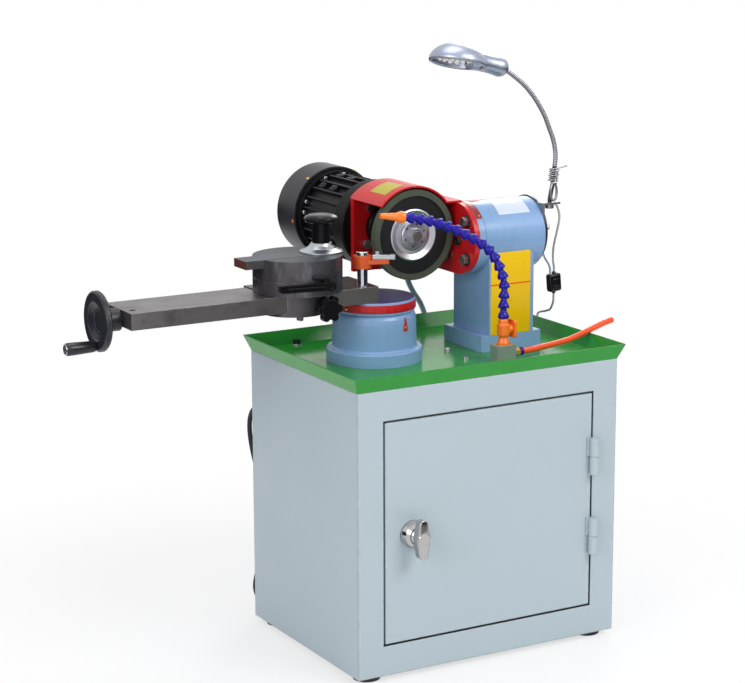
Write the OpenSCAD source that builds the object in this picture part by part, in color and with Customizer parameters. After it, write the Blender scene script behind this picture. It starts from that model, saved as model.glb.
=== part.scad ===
// Saw blade sharpener on a cabinet.
// Millimetres. X runs right along the front, Y to the back, Z up from the floor.

/* [Cabinet] */
// Width of the cabinet
cab_w = 408; // [360:1:480]
// Depth of the cabinet
cab_d = 304; // [280:1:360]
// Height of the cabinet without its feet
cab_h = 390; // [360:1:460]
// Sheet thickness of cabinet and door
sheet = 1.5; // [1:0.1:2.5]
// Height of a foot
foot_h = 8; // [6:1:20]
// Diameter of a foot
foot_d = 40; // [25:1:50]
// Foot centre from the cabinet sides
foot_in = 26; // [25:1:60]

/* [Door] */
// Door width
door_w = 326; // [300:1:330]
// Door height
door_h = 302; // [280:1:310]
// Door bottom above the cabinet bottom
door_up = 44; // [35:1:50]
// Gap all round the door
door_gap = 3; // [1.5:0.1:3.5]
// Depth of the folded door edge
door_lip = 12; // [6:1:16]
// Hinge height
hinge_h = 52; // [40:1:60]
// Hinge barrel radius
hinge_r = 6; // [5:0.1:7]
// Hinge pin radius
hinge_pin_r = 2.8; // [2:0.1:3.2]
// Width of one hinge leaf
hinge_leaf = 9; // [8:0.5:14]
// Bottom of the lower hinge above the door bottom
hinge_low = 74; // [50:1:90]
// Distance between the hinge bottoms
hinge_span = 114; // [100:1:140]
// Lock axis from the left door edge
lock_in = 41; // [34:1:50]
// Lock axis above the door bottom
lock_up = 147; // [120:1:180]
// Lock escutcheon radius
lock_r = 19; // [16:0.5:22]
// Lock shaft radius
lock_shaft_r = 7; // [5:0.5:8]
// Length of the lock cam
cam_len = 53; // [50:1:56]

/* [Tray] */
// Tray sheet thickness
tray_sheet = 1.5; // [1:0.1:2.5]
// Height of the tray wall
tray_rise = 19.5; // [15:0.5:25]
// Outward flare of the tray wall
tray_flare = 8.5; // [5:0.5:12]

/* [Swivel] */
// Swivel axis, across
base_x = -85; // [-95:1:-80]
// Swivel axis, back
base_y = 13; // [8:1:18]
// Base flange radius
flange_r = 66; // [62:1:72]
// Base flange height
flange_h = 19; // [14:1:24]
// Base body radius
base_r = 58; // [54:1:60]
// Height of the base
base_h = 69; // [62:1:76]
// Turntable radius
turn_r = 55.5; // [50:0.5:57]
// Turntable thickness
turn_t = 18; // [14:1:22]
// Height of the graduated band
band_h = 11; // [8:0.5:12]
// Turntable stem radius
stem_r = 15; // [10:0.5:18]

/* [Arm] */
// Bar length
bar_len = 360; // [340:1:380]
// Bar width
bar_w = 84; // [76:1:90]
// Bar thickness
bar_t = 22; // [20:0.5:26]
// Bar end right of the swivel axis
bar_over = -17; // [-20:1:0]
// Lead screw axis above the underside of the bar
screw_up = 8; // [7.5:0.25:11]
// Lead screw radius
screw_r = 6; // [5:0.25:6.5]
// Travel for one turn of the lead screw
screw_lead = 8; // [4:1:10]
// Handwheel diameter
wheel_d = 79; // [75:1:90]
// Handwheel rim width, along its axis
rim_t = 9; // [8:0.5:12]
// Handwheel rim width, across
rim_w = 14; // [10:0.5:16]
// Handwheel collar length
collar_len = 23; // [18:1:30]
// Crank pin from the handwheel axis
crank_off = 32; // [31:0.5:34]
// Crank grip length
grip_len = 42; // [36:1:50]
// Crank grip radius at its tip
grip_r = 8.5; // [7:0.25:10]
// Crank pin radius
crank_pin_r = 3; // [2.5:0.1:3.5]

/* [Carriage] */
// Carriage axis from the swivel axis, across
car_off = -121; // [-140:1:-115]
// Carriage axis from the bar middle, back
drum_off = -7; // [-9:0.5:-5]
// Drum radius
drum_r = 60; // [56:1:64]
// Thickness of the lower band
band_t = 19; // [15:0.5:20]
// Thickness of the seat disc
seat_t = 28; // [25:0.5:34]
// Neck radius
neck_r = 46; // [42:0.5:48]
// Neck axis from the carriage axis
neck_off = -6; // [-10:1:2]
// Thickness of the plate under the bar
keep_t = 6; // [5:0.5:9]
// Seat spigot radius
spigot_r = 20; // [16:0.5:26]
// Seat spigot height
spigot_h = 10; // [7:0.5:12]
// Clamp lever length
lever_len = 76; // [70:1:82]
// Clamp lever stud right of the carriage axis
lever_off = 14.5; // [12:0.5:17]
// Clamp lever stud radius
lever_pin_r = 4; // [3:0.25:4.5]
// Star knob radius
star_r = 18; // [15:0.5:20]
// Star knob axis right of the carriage axis
star_off = 18; // [15:0.5:20]
// Star knob stud radius
star_pin_r = 4; // [3:0.25:5]

/* [Centring] */
// Slide bar width
slide_w = 35; // [30:0.5:40]
// Slide bar thickness
slide_t = 11; // [9:0.5:13]
// Slide bar end left of the carriage axis
slide_out = 85; // [78:1:95]
// Cone axis right of the carriage axis
cone_off = 36; // [30:1:38]
// Cone base radius
cone_r = 29; // [25:0.5:31]
// Cone height
cone_h = 13; // [11:0.5:16]
// Stud radius
stud_r = 5; // [4:0.25:6]
// Mushroom knob stem radius
knob_stem_r = 12; // [9:0.5:14]
// Mushroom knob cap radius
knob_r = 23; // [20:0.5:25]
// Mushroom knob height
knob_h = 38; // [34:1:44]

/* [Tooth stop] */
// Post axis left of the swivel axis
post_in = 35; // [32:0.5:37]
// Post axis in front of the bar middle
post_front = 30; // [28:0.5:33]
// Post radius
post_r = 7; // [6:0.25:8]
// Hub bottom above the bar
hub_up = 25; // [22:0.5:28]
// Hub height
hub_h = 17; // [16:0.5:20]
// Hub radius
hub_r = 12.2; // [11:0.2:14]
// Direction of the stop arm
stop_turn = -30; // [-40:1:-20]
// Finger length
finger_len = 31; // [28:0.5:36]

/* [Column] */
// Column middle, across
col_x = 107.5; // [104:0.5:112]
// Column middle, back
col_y = 12.5; // [8:0.5:16]
// Column flange width
col_flange = 98; // [90:1:106]
// Column flange height
col_flange_h = 23; // [18:1:28]
// Post width
col_w = 73; // [66:1:80]
// Post depth
col_d = 93; // [86:1:96]
// Barrel radius
barrel_r = 50; // [46:0.5:54]
// Barrel length
barrel_len = 97; // [90:1:104]
// Barrel axis above the tray
barrel_up = 155.5; // [148:0.5:164]
// Pivot shaft radius
pivot_r = 25; // [20:0.5:30]

/* [Head] */
// Collar thickness
head_collar_t = 9.7; // [8:0.1:12]
// Bracket plate thickness
plate_t = 8; // [6:0.5:10]
// Back plate behind the barrel axis
plate_back = 84.5; // [80:0.5:90]
// Back plate edge left of the wheel axis
plate_out = 48; // [46:0.5:50]
// Wheel axis left of the bracket side plate
wheel_in = 68; // [66:0.5:70]
// Wheel axis above the barrel axis
wheel_up = 10; // [6:0.5:14]
// Guard radius inside
guard_r = 65.5; // [65:0.25:68]
// Guard sheet thickness
guard_t = 2.5; // [1.5:0.25:3]
// Radius of the bolt circle on the side plate
bolt_ring = 37; // [34:0.5:39]
// Bolt radius
bolt_r = 4; // [3:0.25:4.5]

/* [Motor] */
// Radius of the motor frame
motor_r = 54; // [52:0.5:56]
// Radius over the fins
fin_r = 60.5; // [58:0.5:61.5]
// Radius of the end shields
shield_r = 62.5; // [61.5:0.5:64]
// Length of the front shield
shield_len = 26; // [20:1:30]
// Length of the finned frame
frame_len = 97; // [90:1:105]
// Fan cowl radius
cowl_r = 68; // [66.5:0.5:70]
// Fan cowl length
cowl_len = 61; // [56:1:66]
// Motor shaft radius
shaft_r = 10; // [8:0.25:11]
// Grinding wheel diameter
stone_d = 125; // [120:0.5:126]
// Grinding wheel thickness
stone_t = 19; // [14:0.5:20]
// Width of the abrasive rim
stone_rim = 8.5; // [6:0.5:12]
// Hub radius
stone_hub_r = 36; // [33:0.5:38]

/* [Coolant] */
// Manifold middle, across
mani_x = 53; // [50:1:56]
// Manifold middle, in front of the cabinet middle
mani_y = -98; // [-104:1:-95]
// Manifold width
mani_w = 30; // [26:1:34]
// Manifold depth
mani_d = 19; // [18.5:0.5:24]
// Manifold height
mani_h = 25; // [22:1:28]
// Valve height
valve_h = 36; // [33:0.5:40]
// Supply hose radius
hose_r = 4.2; // [3.8:0.1:4.8]
// Supply hose bore radius
hose_bore = 2.6; // [2.2:0.1:3]
// Paddle lever length
paddle_len = 24; // [20:1:26]

/* [Lamp] */
// Gooseneck radius
neck_tube_r = 3.3; // [2.8:0.1:3.8]
// Lamp dome radius
dome_r = 40; // [36:0.5:42]
// Lamp dome height
dome_h = 29; // [25:0.5:32]
// Lamp socket radius
bulb_r = 15.5; // [14:0.5:17]
// Lamp dome middle left of the end of the gooseneck
dome_off = 80.5; // [77:0.5:84]
// Lamp dome rim above the end of the gooseneck
dome_up = 12; // [10:0.5:15]
// Tip of the lamp dome towards the gooseneck, in degrees
dome_tip = 14.8; // [8:0.2:18]
// Lean of the lamp dome towards the back, in degrees
dome_lean = 8.7; // [0:0.1:12]
// Depth of the lens inside the dome
lens_in = 9; // [7:0.5:11]
// Tie wire radius
wire_r = 1.1; // [0.9:0.05:1.2]

/* [Leads] */
// Lamp cord radius
lamp_cord_r = 1.5; // [1.2:0.1:1.8]
// Width of the switch on the lamp cord
switch_w = 20; // [16:1:24]
// Height of the switch on the lamp cord
switch_h = 26; // [22:1:30]
// Motor cable radius
motor_cable_r = 4; // [3.5:0.1:4.4]
// Mains lead radius
mains_r = 3.5; // [3:0.1:3.7]
// Coil radius inside, at the middle of the lead
coil_in_r = 28.5; // [28:0.5:32]
// Distance between coil turns
coil_pitch = 7.8; // [7.8:0.1:9]

/* [Fits] */
// Radial clearance of turning fits
run_fit = 0.05; // [0.02:0.01:0.1]
// Gap between faces that slide or turn
face_gap = 0.3; // [0.2:0.05:0.5]

/* [Hidden] */
$fn = 64;
eps = 0.5;

side_x = cab_w / 2;
back_y = cab_d / 2;
top_z = foot_h + cab_h;
deck_z = top_z + tray_sheet;
lip_z = deck_z + tray_rise;

door_z = foot_h + door_up;
hinge_x = door_w / 2 + door_gap / 2;
hinge_y = -back_y - hinge_r - 0.4;
hinge_z = [door_z + hinge_low, door_z + hinge_low + hinge_span];
lock_x = -door_w / 2 + lock_in;
lock_z = door_z + lock_up;

turn_z = deck_z + base_h + face_gap;
bar_z = turn_z + turn_t;
bar_top = bar_z + bar_t;
bar_right = base_x + bar_over;
bar_left = bar_right - bar_len;
bar_front = base_y - bar_w / 2;
bar_back = base_y + bar_w / 2;
screw_z = bar_z + screw_up;
groove_w = 2 * screw_r + 6;
groove_top = screw_z + screw_r + 1.7;
groove_x0 = bar_left + 14;
groove_x1 = bar_right - 48;
rim_x = bar_left - face_gap - collar_len;
rim_front = rim_x - rim_t;

car_x = base_x + car_off;
drum_y = base_y + drum_off;
neck_x = car_x + neck_off;
keep_z = bar_z - face_gap - keep_t;
band_z = bar_top + face_gap;
seat_z = band_z + band_t + face_gap;
seat_top = seat_z + seat_t;
slide_top = seat_top + face_gap;
cone_x = car_x + cone_off;
cone_top = slide_top + cone_h;
lever_x = car_x + lever_off;
lever_z = band_z + band_t - lever_pin_r - 1;
lever_y = drum_y - drum_r - 1.5;
star_x = car_x + star_off;
star_z = band_z - star_r - face_gap - 0.5;
neck_front = drum_y - neck_r;

post_x = base_x - post_in;
post_y = base_y - post_front;
hub_z = bar_top + hub_up;
arm_up = 5.8;
arm_t = 5.5;
finger_h = 6.5;

col_left = col_x - barrel_len / 2 + 5.2;
barrel_z = deck_z + barrel_up;
barrel_x0 = col_left;
barrel_x1 = barrel_x0 + barrel_len;
collar_x0 = barrel_x0 - face_gap - head_collar_t;
plate_x1 = collar_x0;
plate_x0 = plate_x1 - plate_t;
back_y0 = col_y + plate_back;
back_y1 = back_y0 + plate_t;
wheel_x = plate_x0 - wheel_in;
wheel_z = barrel_z + wheel_up;
guard_a = asin((barrel_r - wheel_up) / guard_r);
motor_ring = 36;
bearing_r = 21;
frame_y = back_y1 + shield_len;
rear_y = frame_y + frame_len;
cowl_y = rear_y + 9;
cowl_end = cowl_y + cowl_len;
stone_y = col_y - 0.5;

valve_z = deck_z + mani_h;
valve_top = valve_z + valve_h;
paddle_z = valve_z + 21;
tail_z = deck_z + mani_h / 2;
tail_x = mani_x + mani_w / 2;

lamp_y = col_y - 34.5;
tab_z = barrel_z + 45;
tab_x = barrel_x1 + 16;

// Points of the bent tubes
jet_path = [for (p = [
    [0, 0, 0], [0, 0, 6], [0, 0, 12.5], [2.5, 3.5, 25], [6, 7, 38], [7, 11, 51], [4, 14, 64], [-1, 17, 77],
    [-7, 20, 88], [-16, 23, 97], [-27, 26, 105], [-39, 29, 112], [-51, 32, 119], [-64, 35, 125],
    [-78, 38, 130.5], [-92, 41, 135], [-106, 44, 138.5], [-118, 46, 141], [-128, 47.2, 142.3]
    ]) [mani_x, mani_y, valve_top + face_gap] + p];
neck_path = [for (p = [
    [0, 0, 0], [2, 0, 12], [5, 0, 26], [8, 0, 50], [9, 0, 62], [8, 0, 74], [4, 0, 89], [-2, 0, 103],
    [-9, 0, 119], [-18, 0, 134], [-29, 0, 149], [-43, 0, 164], [-58, 0, 176], [-72, 0, 185.5]
    ]) [tab_x, lamp_y, tab_z] + p];
neck_end = neck_path[len(neck_path) - 1];
neck_way = neck_end - neck_path[len(neck_path) - 2];
dome_at = [neck_end[0] - dome_off, lamp_y, neck_end[2] + dome_up];
hose_path = [for (p = [
    [12, 0, 0], [17, 0, 0], [24, 0, 0], [34, 1, 0.2], [53, 4, 1], [78, 9, 2], [104, 14, 3.9], [129, 18, 8.9],
    [152, 21.5, 14.3], [169, 24, 18.3], [184, 26, 20.7]
    ]) [tail_x, mani_y, tail_z] + p];
switch_at = [barrel_x1 + 36, lamp_y + 16, deck_z + 81.5];
lamp_gland = [side_x, 75, top_z - 58];
lamp_route = concat(
    [for (p = [[9, 3, -3.2], [15, 3, -8], [20, 4, -24], [18, 7, -45], [15, 10, -66], [16.5, 13.5, -84],
        [20, 16, -97]]) [tab_x, lamp_y, tab_z] + p],
    [for (p = [[0, 0, 17], [0, 0, 0], [0, 0, -20], [0.5, 2, -30], [2, 11, -41], [6, 28, -47]]) switch_at + p],
    [for (p = [[14, -12, 82], [16, -5, 68], [15, -1, 50], [13, 0, 30], [12, 0, 14], [12, 0, 4]])
        lamp_gland + p]);
lamp_spur = [
    [tab_x - 8, lamp_y + 4, tab_z - 3 - face_gap], [tab_x - 8.7, lamp_y + 5, tab_z - 12],
    [tab_x - 9.7, lamp_y + 8.5, tab_z - 28], [tab_x - 8.7, lamp_y + 10, tab_z - 48],
    [tab_x - 5, lamp_y + 12, tab_z - 66], [switch_at[0] - 17, switch_at[1] - 2, switch_at[2] + 37],
    [switch_at[0] - 9.5, switch_at[1] - 0.5, switch_at[2] + 27],
    [switch_at[0] - 6.5, switch_at[1], switch_at[2] + 20],
    [switch_at[0] - 6.5, switch_at[1], switch_at[2] + switch_h / 2 + face_gap]];
term_x = wheel_x + 66;
term_y = frame_y + 19;
term_z = wheel_z - 25;
motor_gland = [98, back_y, top_z - 72];
cable_route = concat(
    [for (p = [[0, 0, -10], [0, 0, -26], [1, 0, -46], [5, 1, -66], [17, 6, -86], [33, 13, -105]])
        [term_x, term_y, term_z] + p],
    [for (p = [[-7, 19, 86], [-2, 20, 66], [0, 20, 44], [0, 20, 24], [0, 20, 12]]) motor_gland + p]);
mains_gland = [-173, back_y, foot_h + 294];
coil_turns = 3;
coil_c = [-60, back_y + 40 + coil_in_r + coil_turns * coil_pitch - 14];
coil_out_r = coil_in_r + coil_turns * coil_pitch;
coil_start = [coil_c[0], coil_c[1] - coil_out_r, mains_r];
mains_route = concat(
    [for (p = [[0, 14, 0], [0, 26, 0], [0, 38, 0], [0.5, 52, -3], [1, 64.6, -11], [1.5, 73, -23.4],
        [2, 76, -38], [2.5, 74.5, -54], [3.5, 70, -72], [5, 63, -92], [6, 55, -115], [7, 48, -140],
        [6, 42, -165], [3, 37, -190], [-3.5, 32.5, -214], [-11, 29, -236]]) mains_gland + p],
    [for (p = [[-130, 1, 41], [-128, 0.8, 25.5], [-118.7, 0.6, 11.6], [-105.6, 0.3, 3.3], [-90, 0, 0],
        [-75, 0, 0], [-55, 0, 0], [-37, 0, 0], [-18, 0, 0], [0, 0, 0]]) coil_start + p]);

// Vector and tube helpers
function unit(v) = v / norm(v);
function knot(p, i) = p[max(0, min(len(p) - 1, i))];
function bend(a, b, c, d, u) = 0.5 * (2 * b + (c - a) * u + (2 * a - 5 * b + 4 * c - d) * u * u
    + (3 * b - a - 3 * c + d) * u * u * u);
function smooth(p, k) = concat([for (i = [0 : len(p) - 2], j = [0 : k - 1])
    bend(knot(p, i - 1), p[i], p[i + 1], knot(p, i + 2), j / k)], [p[len(p) - 1]]);
function headings(p) = [for (i = [0 : len(p) - 1]) unit(knot(p, i + 1) - knot(p, i - 1))];
function carry(t, n, i) = i == len(t) ? [] :
    let (m = unit(n - t[i] * (t[i] * n))) concat([m], carry(t, m, i + 1));
function rings(p, r, sides) = let (t = headings(p), n = carry(t, [0.1, 0.9, 0.2], 0))
    [for (i = [0 : len(p) - 1], k = [0 : sides - 1]) let (a = 360 * k / sides)
        p[i] + r[i] * (cos(a) * n[i] + sin(a) * cross(t[i], n[i]))];
function skin(count, sides, first, flip) = [for (i = [0 : count - 2], k = [0 : sides - 1], h = [0, 1])
    let (a = first + i * sides + k, b = first + i * sides + (k + 1) % sides)
    let (f = h == 0 ? [a, a + sides, b] : [b, a + sides, b + sides])
    flip ? [f[2], f[1], f[0]] : f];
function fan_cap(first, sides, flip) = [for (k = [1 : sides - 2])
    flip ? [first, first + k + 1, first + k] : [first, first + k, first + k + 1]];
function ring_cap(a, b, sides, flip) = [for (k = [0 : sides - 1], h = [0, 1])
    let (l = (k + 1) % sides)
    let (f = h == 0 ? [a + k, a + l, b + k] : [a + l, b + l, b + k])
    flip ? [f[2], f[1], f[0]] : f];
function same(count, r) = [for (i = [1 : count]) r];

module tube(p, r, sides) {
    n = len(p);
    polyhedron(
        points = rings(p, same(n, r), sides),
        faces = concat(skin(n, sides, 0, false), fan_cap(0, sides, false),
            fan_cap((n - 1) * sides, sides, true)),
        convexity = 10);
}

module pipe(p, radii, bore, sides) {
    n = len(p);
    polyhedron(
        points = concat(rings(p, radii, sides), rings(p, same(n, bore), sides)),
        faces = concat(skin(n, sides, 0, false), skin(n, sides, n * sides, true),
            ring_cap(0, n * sides, sides, false),
            ring_cap((n - 1) * sides, (2 * n - 1) * sides, sides, true)),
        convexity = 10);
}

// Shape helpers
module box(x0, x1, y0, y1, z0, z1) {
    translate([x0, y0, z0]) cube([x1 - x0, y1 - y0, z1 - z0]);
}

module xcyl(x0, x1, y, z, r) {
    translate([x0, y, z]) rotate([0, 90, 0]) cylinder(r = r, h = x1 - x0);
}

module ycyl(x, y0, y1, z, r) {
    translate([x, y0, z]) rotate([-90, 0, 0]) cylinder(r = r, h = y1 - y0);
}

module zcyl(x, y, z0, z1, r) {
    translate([x, y, z0]) cylinder(r = r, h = z1 - z0);
}

// Turned about X: profile of [radius, x]
module xturn(y, z, profile) {
    translate([0, y, z]) rotate([0, 90, 0]) rotate_extrude() polygon(profile);
}

// Turned about Y: profile of [radius, y]
module yturn(x, z, profile) {
    translate([x, 0, z]) rotate([-90, 0, 0]) rotate_extrude() polygon(profile);
}

// Turned about Z: profile of [radius, z]
module zturn(x, y, profile) {
    translate([x, y, 0]) rotate_extrude() polygon(profile);
}

// Flat plate with an outline in X and Z, between two values of Y
module yplate(y0, y1) {
    translate([0, y1, 0]) rotate([90, 0, 0]) linear_extrude(y1 - y0) children();
}

// Flat plate with an outline in Y and Z, between two values of X
module xplate(x0, x1) {
    translate([x0, 0, 0]) rotate([90, 0, 90]) linear_extrude(x1 - x0) children();
}

// Places along the tray that are screwed down: [x, y, washer radius, head radius, head height]
tray_screws = [
    [-side_x + 67, back_y - 9.5, 7.5, 5.5, 6],
    [24, -1, 4.5, 4, 2.5],
    [20, -56, 4.5, 4, 2.5]];
tray_shank_r = 2.5;

module cabinet_wrap() color("lightsteelblue") difference() {
    box(-side_x, side_x, -back_y + sheet, back_y, foot_h, top_z);
    box(-side_x + sheet, side_x - sheet, -back_y - eps, back_y - sheet, foot_h - eps, top_z + eps);
    ycyl(motor_gland[0], back_y - 3, back_y + 1, motor_gland[2] - 10, 8.1);
    ycyl(mains_gland[0], back_y - 3, back_y + 1, mains_gland[2], 8.1);
    xcyl(side_x - 3, side_x + 1, lamp_gland[1], lamp_gland[2] - 8, 6.1);
}

module cabinet_decks() color("lightsteelblue") difference() {
    for (z = [foot_h, top_z - sheet])
        box(-side_x + sheet, side_x - sheet, -back_y + sheet, back_y - sheet, z, z + sheet);
    for (s = tray_screws)
        zcyl(s[0], s[1], top_z - 5, top_z + 1, tray_shank_r + 0.1);
}

module front_frame() color("lightsteelblue") difference() {
    box(-side_x, side_x, -back_y, -back_y + sheet, foot_h, top_z);
    box(-door_w / 2 - door_gap, door_w / 2 + door_gap, -back_y - eps, -back_y + sheet + eps,
        door_z - door_gap, door_z + door_h + door_gap);
}

module foot() cylinder(r1 = foot_d / 2 - 1.5, r2 = foot_d / 2, h = foot_h);

// Four feet under the corners, and one under the middle of the bottom sheet
module feet() color("black") {
    for (x = [-1, 1], y = [-1, 1])
        translate([x * (side_x - foot_in), y * (back_y - foot_in), 0])
            foot();
    foot();
}

module drip_tray() color("green") difference() {
    hull() {
        box(-side_x, side_x, -back_y, back_y, top_z, top_z + 0.1);
        box(-side_x - tray_flare, side_x + tray_flare, -back_y - tray_flare, back_y + tray_flare,
            lip_z - 0.1, lip_z);
    }
    hull() {
        box(-side_x + tray_sheet, side_x - tray_sheet, -back_y + tray_sheet, back_y - tray_sheet,
            deck_z, deck_z + 0.1);
        box(-side_x - tray_flare + tray_sheet, side_x + tray_flare - tray_sheet,
            -back_y - tray_flare + tray_sheet, back_y + tray_flare - tray_sheet, lip_z - 0.1, lip_z + 1);
    }
    for (s = tray_screws)
        zcyl(s[0], s[1], top_z - 1, deck_z + 1, tray_shank_r + 0.1);
}

module tray_fasteners() color("black") {
    for (s = tray_screws) {
        zcyl(s[0], s[1], deck_z, deck_z + 1.5, s[2]);
        zcyl(s[0], s[1], deck_z + 1.4, deck_z + 1.5 + s[4], s[3]);
        zcyl(s[0], s[1], top_z - 9, deck_z + 0.5, tray_shank_r);
    }
}

module hinge_posts() color("silver") {
    for (z = hinge_z) {
        box(hinge_x, hinge_x + hinge_leaf, -back_y - 2, -back_y, z, z + hinge_h / 2 - face_gap);
        zcyl(hinge_x, hinge_y, z, z + hinge_h / 2 - face_gap, hinge_r);
        zcyl(hinge_x, hinge_y, z + 1, z + hinge_h - 2, hinge_pin_r);
    }
}

module door_panel() color("lightsteelblue") difference() {
    box(-door_w / 2, door_w / 2, -back_y, -back_y + door_lip, door_z, door_z + door_h);
    box(-door_w / 2 + sheet, door_w / 2 - sheet, -back_y + sheet, -back_y + door_lip + eps,
        door_z + sheet, door_z + door_h - sheet);
    ycyl(lock_x, -back_y - eps, -back_y + sheet + eps, lock_z, lock_shaft_r + 2.05);
}

module hinge_barrels() color("silver") difference() {
    for (z = hinge_z) {
        box(hinge_x - hinge_leaf, hinge_x, -back_y - 2, -back_y, z + hinge_h / 2, z + hinge_h);
        zcyl(hinge_x, hinge_y, z + hinge_h / 2, z + hinge_h, hinge_r);
    }
    for (z = hinge_z)
        zcyl(hinge_x, hinge_y, z + hinge_h / 2 - eps, z + hinge_h - 1, hinge_pin_r + run_fit);
}

module lock_escutcheon() color("silver") {
    yturn(lock_x, lock_z, [
        [lock_shaft_r + run_fit, -back_y - 14], [lock_r - 7, -back_y - 14], [lock_r - 3, -back_y - 10],
        [lock_r, -back_y - 4], [lock_r, -back_y], [lock_shaft_r + 2, -back_y],
        [lock_shaft_r + 2, -back_y + 8], [lock_shaft_r + run_fit, -back_y + 8]]);
}

module lock_handle() color("silver") {
    yturn(lock_x, lock_z, [
        [0, -back_y - 32], [8, -back_y - 32], [9, -back_y - 31], [9, -back_y - 18], [11, -back_y - 16],
        [11, -back_y - 14 - face_gap], [lock_shaft_r, -back_y - 14 - face_gap],
        [lock_shaft_r, -back_y + 21], [0, -back_y + 21]]);
    yplate(-back_y - 30, -back_y - 20) union() {
        translate([lock_x, lock_z]) circle(r = 10.5);
        translate([lock_x, lock_z + 18]) circle(r = 7);
        translate([lock_x, lock_z - 22]) circle(r = 7);
        translate([lock_x, lock_z]) polygon([[-10.2, -3], [-6.9, -23], [6.9, -23], [10.2, -3], [10, 3.5],
            [6.8, 19.5], [-6.8, 19.5], [-10, 3.5]]);
    }
    yplate(-back_y + 17, -back_y + 20) union() {
        translate([lock_x, lock_z]) circle(r = 11);
        translate([lock_x - 7, lock_z - cam_len]) square([14, cam_len]);
    }
}

module swivel_base() color("cornflowerblue") {
    r0 = base_r - 3;
    z1 = deck_z + base_h;
    zturn(base_x, base_y, [
        [flange_r - 14, deck_z], [flange_r, deck_z], [flange_r, deck_z + flange_h - 2],
        [flange_r - 2, deck_z + flange_h], [base_r + 2, deck_z + flange_h], [base_r, deck_z + flange_h + 2],
        [base_r - 0.8, z1 - 12], [base_r - 1.6, z1 - 6], [r0, z1 - 3], [r0 - 2, z1 - 0.8], [r0 - 4, z1],
        [stem_r + run_fit, z1], [stem_r + run_fit, z1 - 48], [stem_r + 9, z1 - 48], [stem_r + 9, z1 - 15],
        [flange_r - 18, z1 - 15]]);
}

module turntable() color("cornflowerblue") {
    zturn(base_x, base_y, [
        [0, turn_z - 42], [stem_r - 1, turn_z - 42], [stem_r, turn_z - 41], [stem_r, turn_z],
        [turn_r - 1, turn_z], [turn_r, turn_z + 1], [turn_r, turn_z + 4], [turn_r + 1.5, turn_z + 4],
        [turn_r + 1.5, turn_z + 4 + band_h], [turn_r, turn_z + 4 + band_h], [turn_r, bar_z - 1],
        [turn_r - 1, bar_z], [0, bar_z]]);
}

module arm_bar() color("gray") difference() {
    box(bar_left, bar_right, bar_front, bar_back, bar_z, bar_top);
    box(groove_x0, groove_x1, base_y - groove_w / 2, base_y + groove_w / 2, bar_z - eps, groove_top);
    xcyl(bar_left - eps, groove_x0 + eps, base_y, screw_z, screw_r + run_fit);
    xcyl(groove_x1 - eps, groove_x1 + 12, base_y, screw_z, screw_r - 2 + run_fit);
    zcyl(post_x, post_y, bar_z - eps, bar_top + eps, post_r + run_fit);
    zcyl(bar_left + 11, base_y - 21, bar_top - 8, bar_top + eps, 3);
}

module lead_screw() color("silver") {
    xturn(base_y, screw_z, [
        [0, rim_x - 1], [screw_r, rim_x - 1], [screw_r, groove_x1 - 1], [screw_r - 2, groove_x1 - 0.6],
        [screw_r - 2, groove_x1 + 11], [0, groove_x1 + 11]]);
}

module handwheel() color("black") {
    r = wheel_d / 2;
    xturn(base_y, screw_z, [
        [screw_r + 0.02, rim_x - 1], [0, rim_x - 1], [0, rim_x - 4], [r - rim_w - 12, rim_x - 4],
        [r - rim_w - 11.5, rim_x - 4.6], [r - rim_w - 9, rim_x - 4.6], [r - rim_w - 1.5, rim_front + 1.2],
        [r - rim_w, rim_front], [r - 3, rim_front], [r - 1, rim_front + 1], [r, rim_front + 2.5],
        [r - 0.8, rim_front + 3.5], [r - 0.8, rim_x - 3.5], [r, rim_x - 2.5], [r - 2, rim_x], [15, rim_x],
        [15, bar_left - face_gap],
        [screw_r + 0.02, bar_left - face_gap]]);
    xturn(base_y, screw_z - crank_off, [
        [0, rim_front - grip_len], [crank_pin_r, rim_front - grip_len], [crank_pin_r, rim_front + 4],
        [0, rim_front + 4]]);
}

module crank_grip() color("black") {
    x0 = rim_front - grip_len;
    x1 = rim_front - face_gap;
    xturn(base_y, screw_z - crank_off, [
        [crank_pin_r + run_fit, x0], [grip_r - 2.5, x0], [grip_r - 0.8, x0 + 1.5], [grip_r, x0 + 4],
        [grip_r - 0.2, x0 + 10], [grip_r - 3.4, x1 - 6], [grip_r - 3.7, x1 - 2], [grip_r - 3.7, x1],
        [crank_pin_r + run_fit, x1]]);
}

module carriage() color("dimgray") difference() {
    union() {
        zcyl(car_x, drum_y, band_z, band_z + band_t, drum_r);
        zcyl(neck_x, drum_y, keep_z, band_z + 1, neck_r);
        box(neck_x - neck_r, neck_x + neck_r, drum_y, bar_back + 8, keep_z, band_z + 1);
        zcyl(car_x, drum_y, band_z + 1, band_z + band_t + spigot_h, spigot_r);
        ycyl(star_x, neck_front, drum_y, star_z, 9.5);
    }
    box(car_x - 90, car_x + 90, bar_front - face_gap, bar_back + face_gap, bar_z - face_gap, band_z);
    ycyl(lever_x, drum_y - drum_r - 1, drum_y - drum_r + 32, lever_z, lever_pin_r + run_fit);
    ycyl(star_x, neck_front - 2, bar_front + 1, star_z, star_pin_r + run_fit);
    zcyl(neck_x - 18, base_y, keep_z - 1, bar_z, 3.1);
}

module screw_nut() color("goldenrod") difference() {
    union() {
        box(neck_x - 32, neck_x - 4, base_y - groove_w / 2 + 0.4, base_y + groove_w / 2 - 0.4,
            bar_z - face_gap, groove_top - 0.5);
        zcyl(neck_x - 18, base_y, keep_z - 1, bar_z, 3);
        zcyl(neck_x - 18, base_y, keep_z - 6, keep_z, 6);
    }
    xcyl(neck_x - 33, neck_x - 3, base_y, screw_z, screw_r + run_fit);
}

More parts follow.
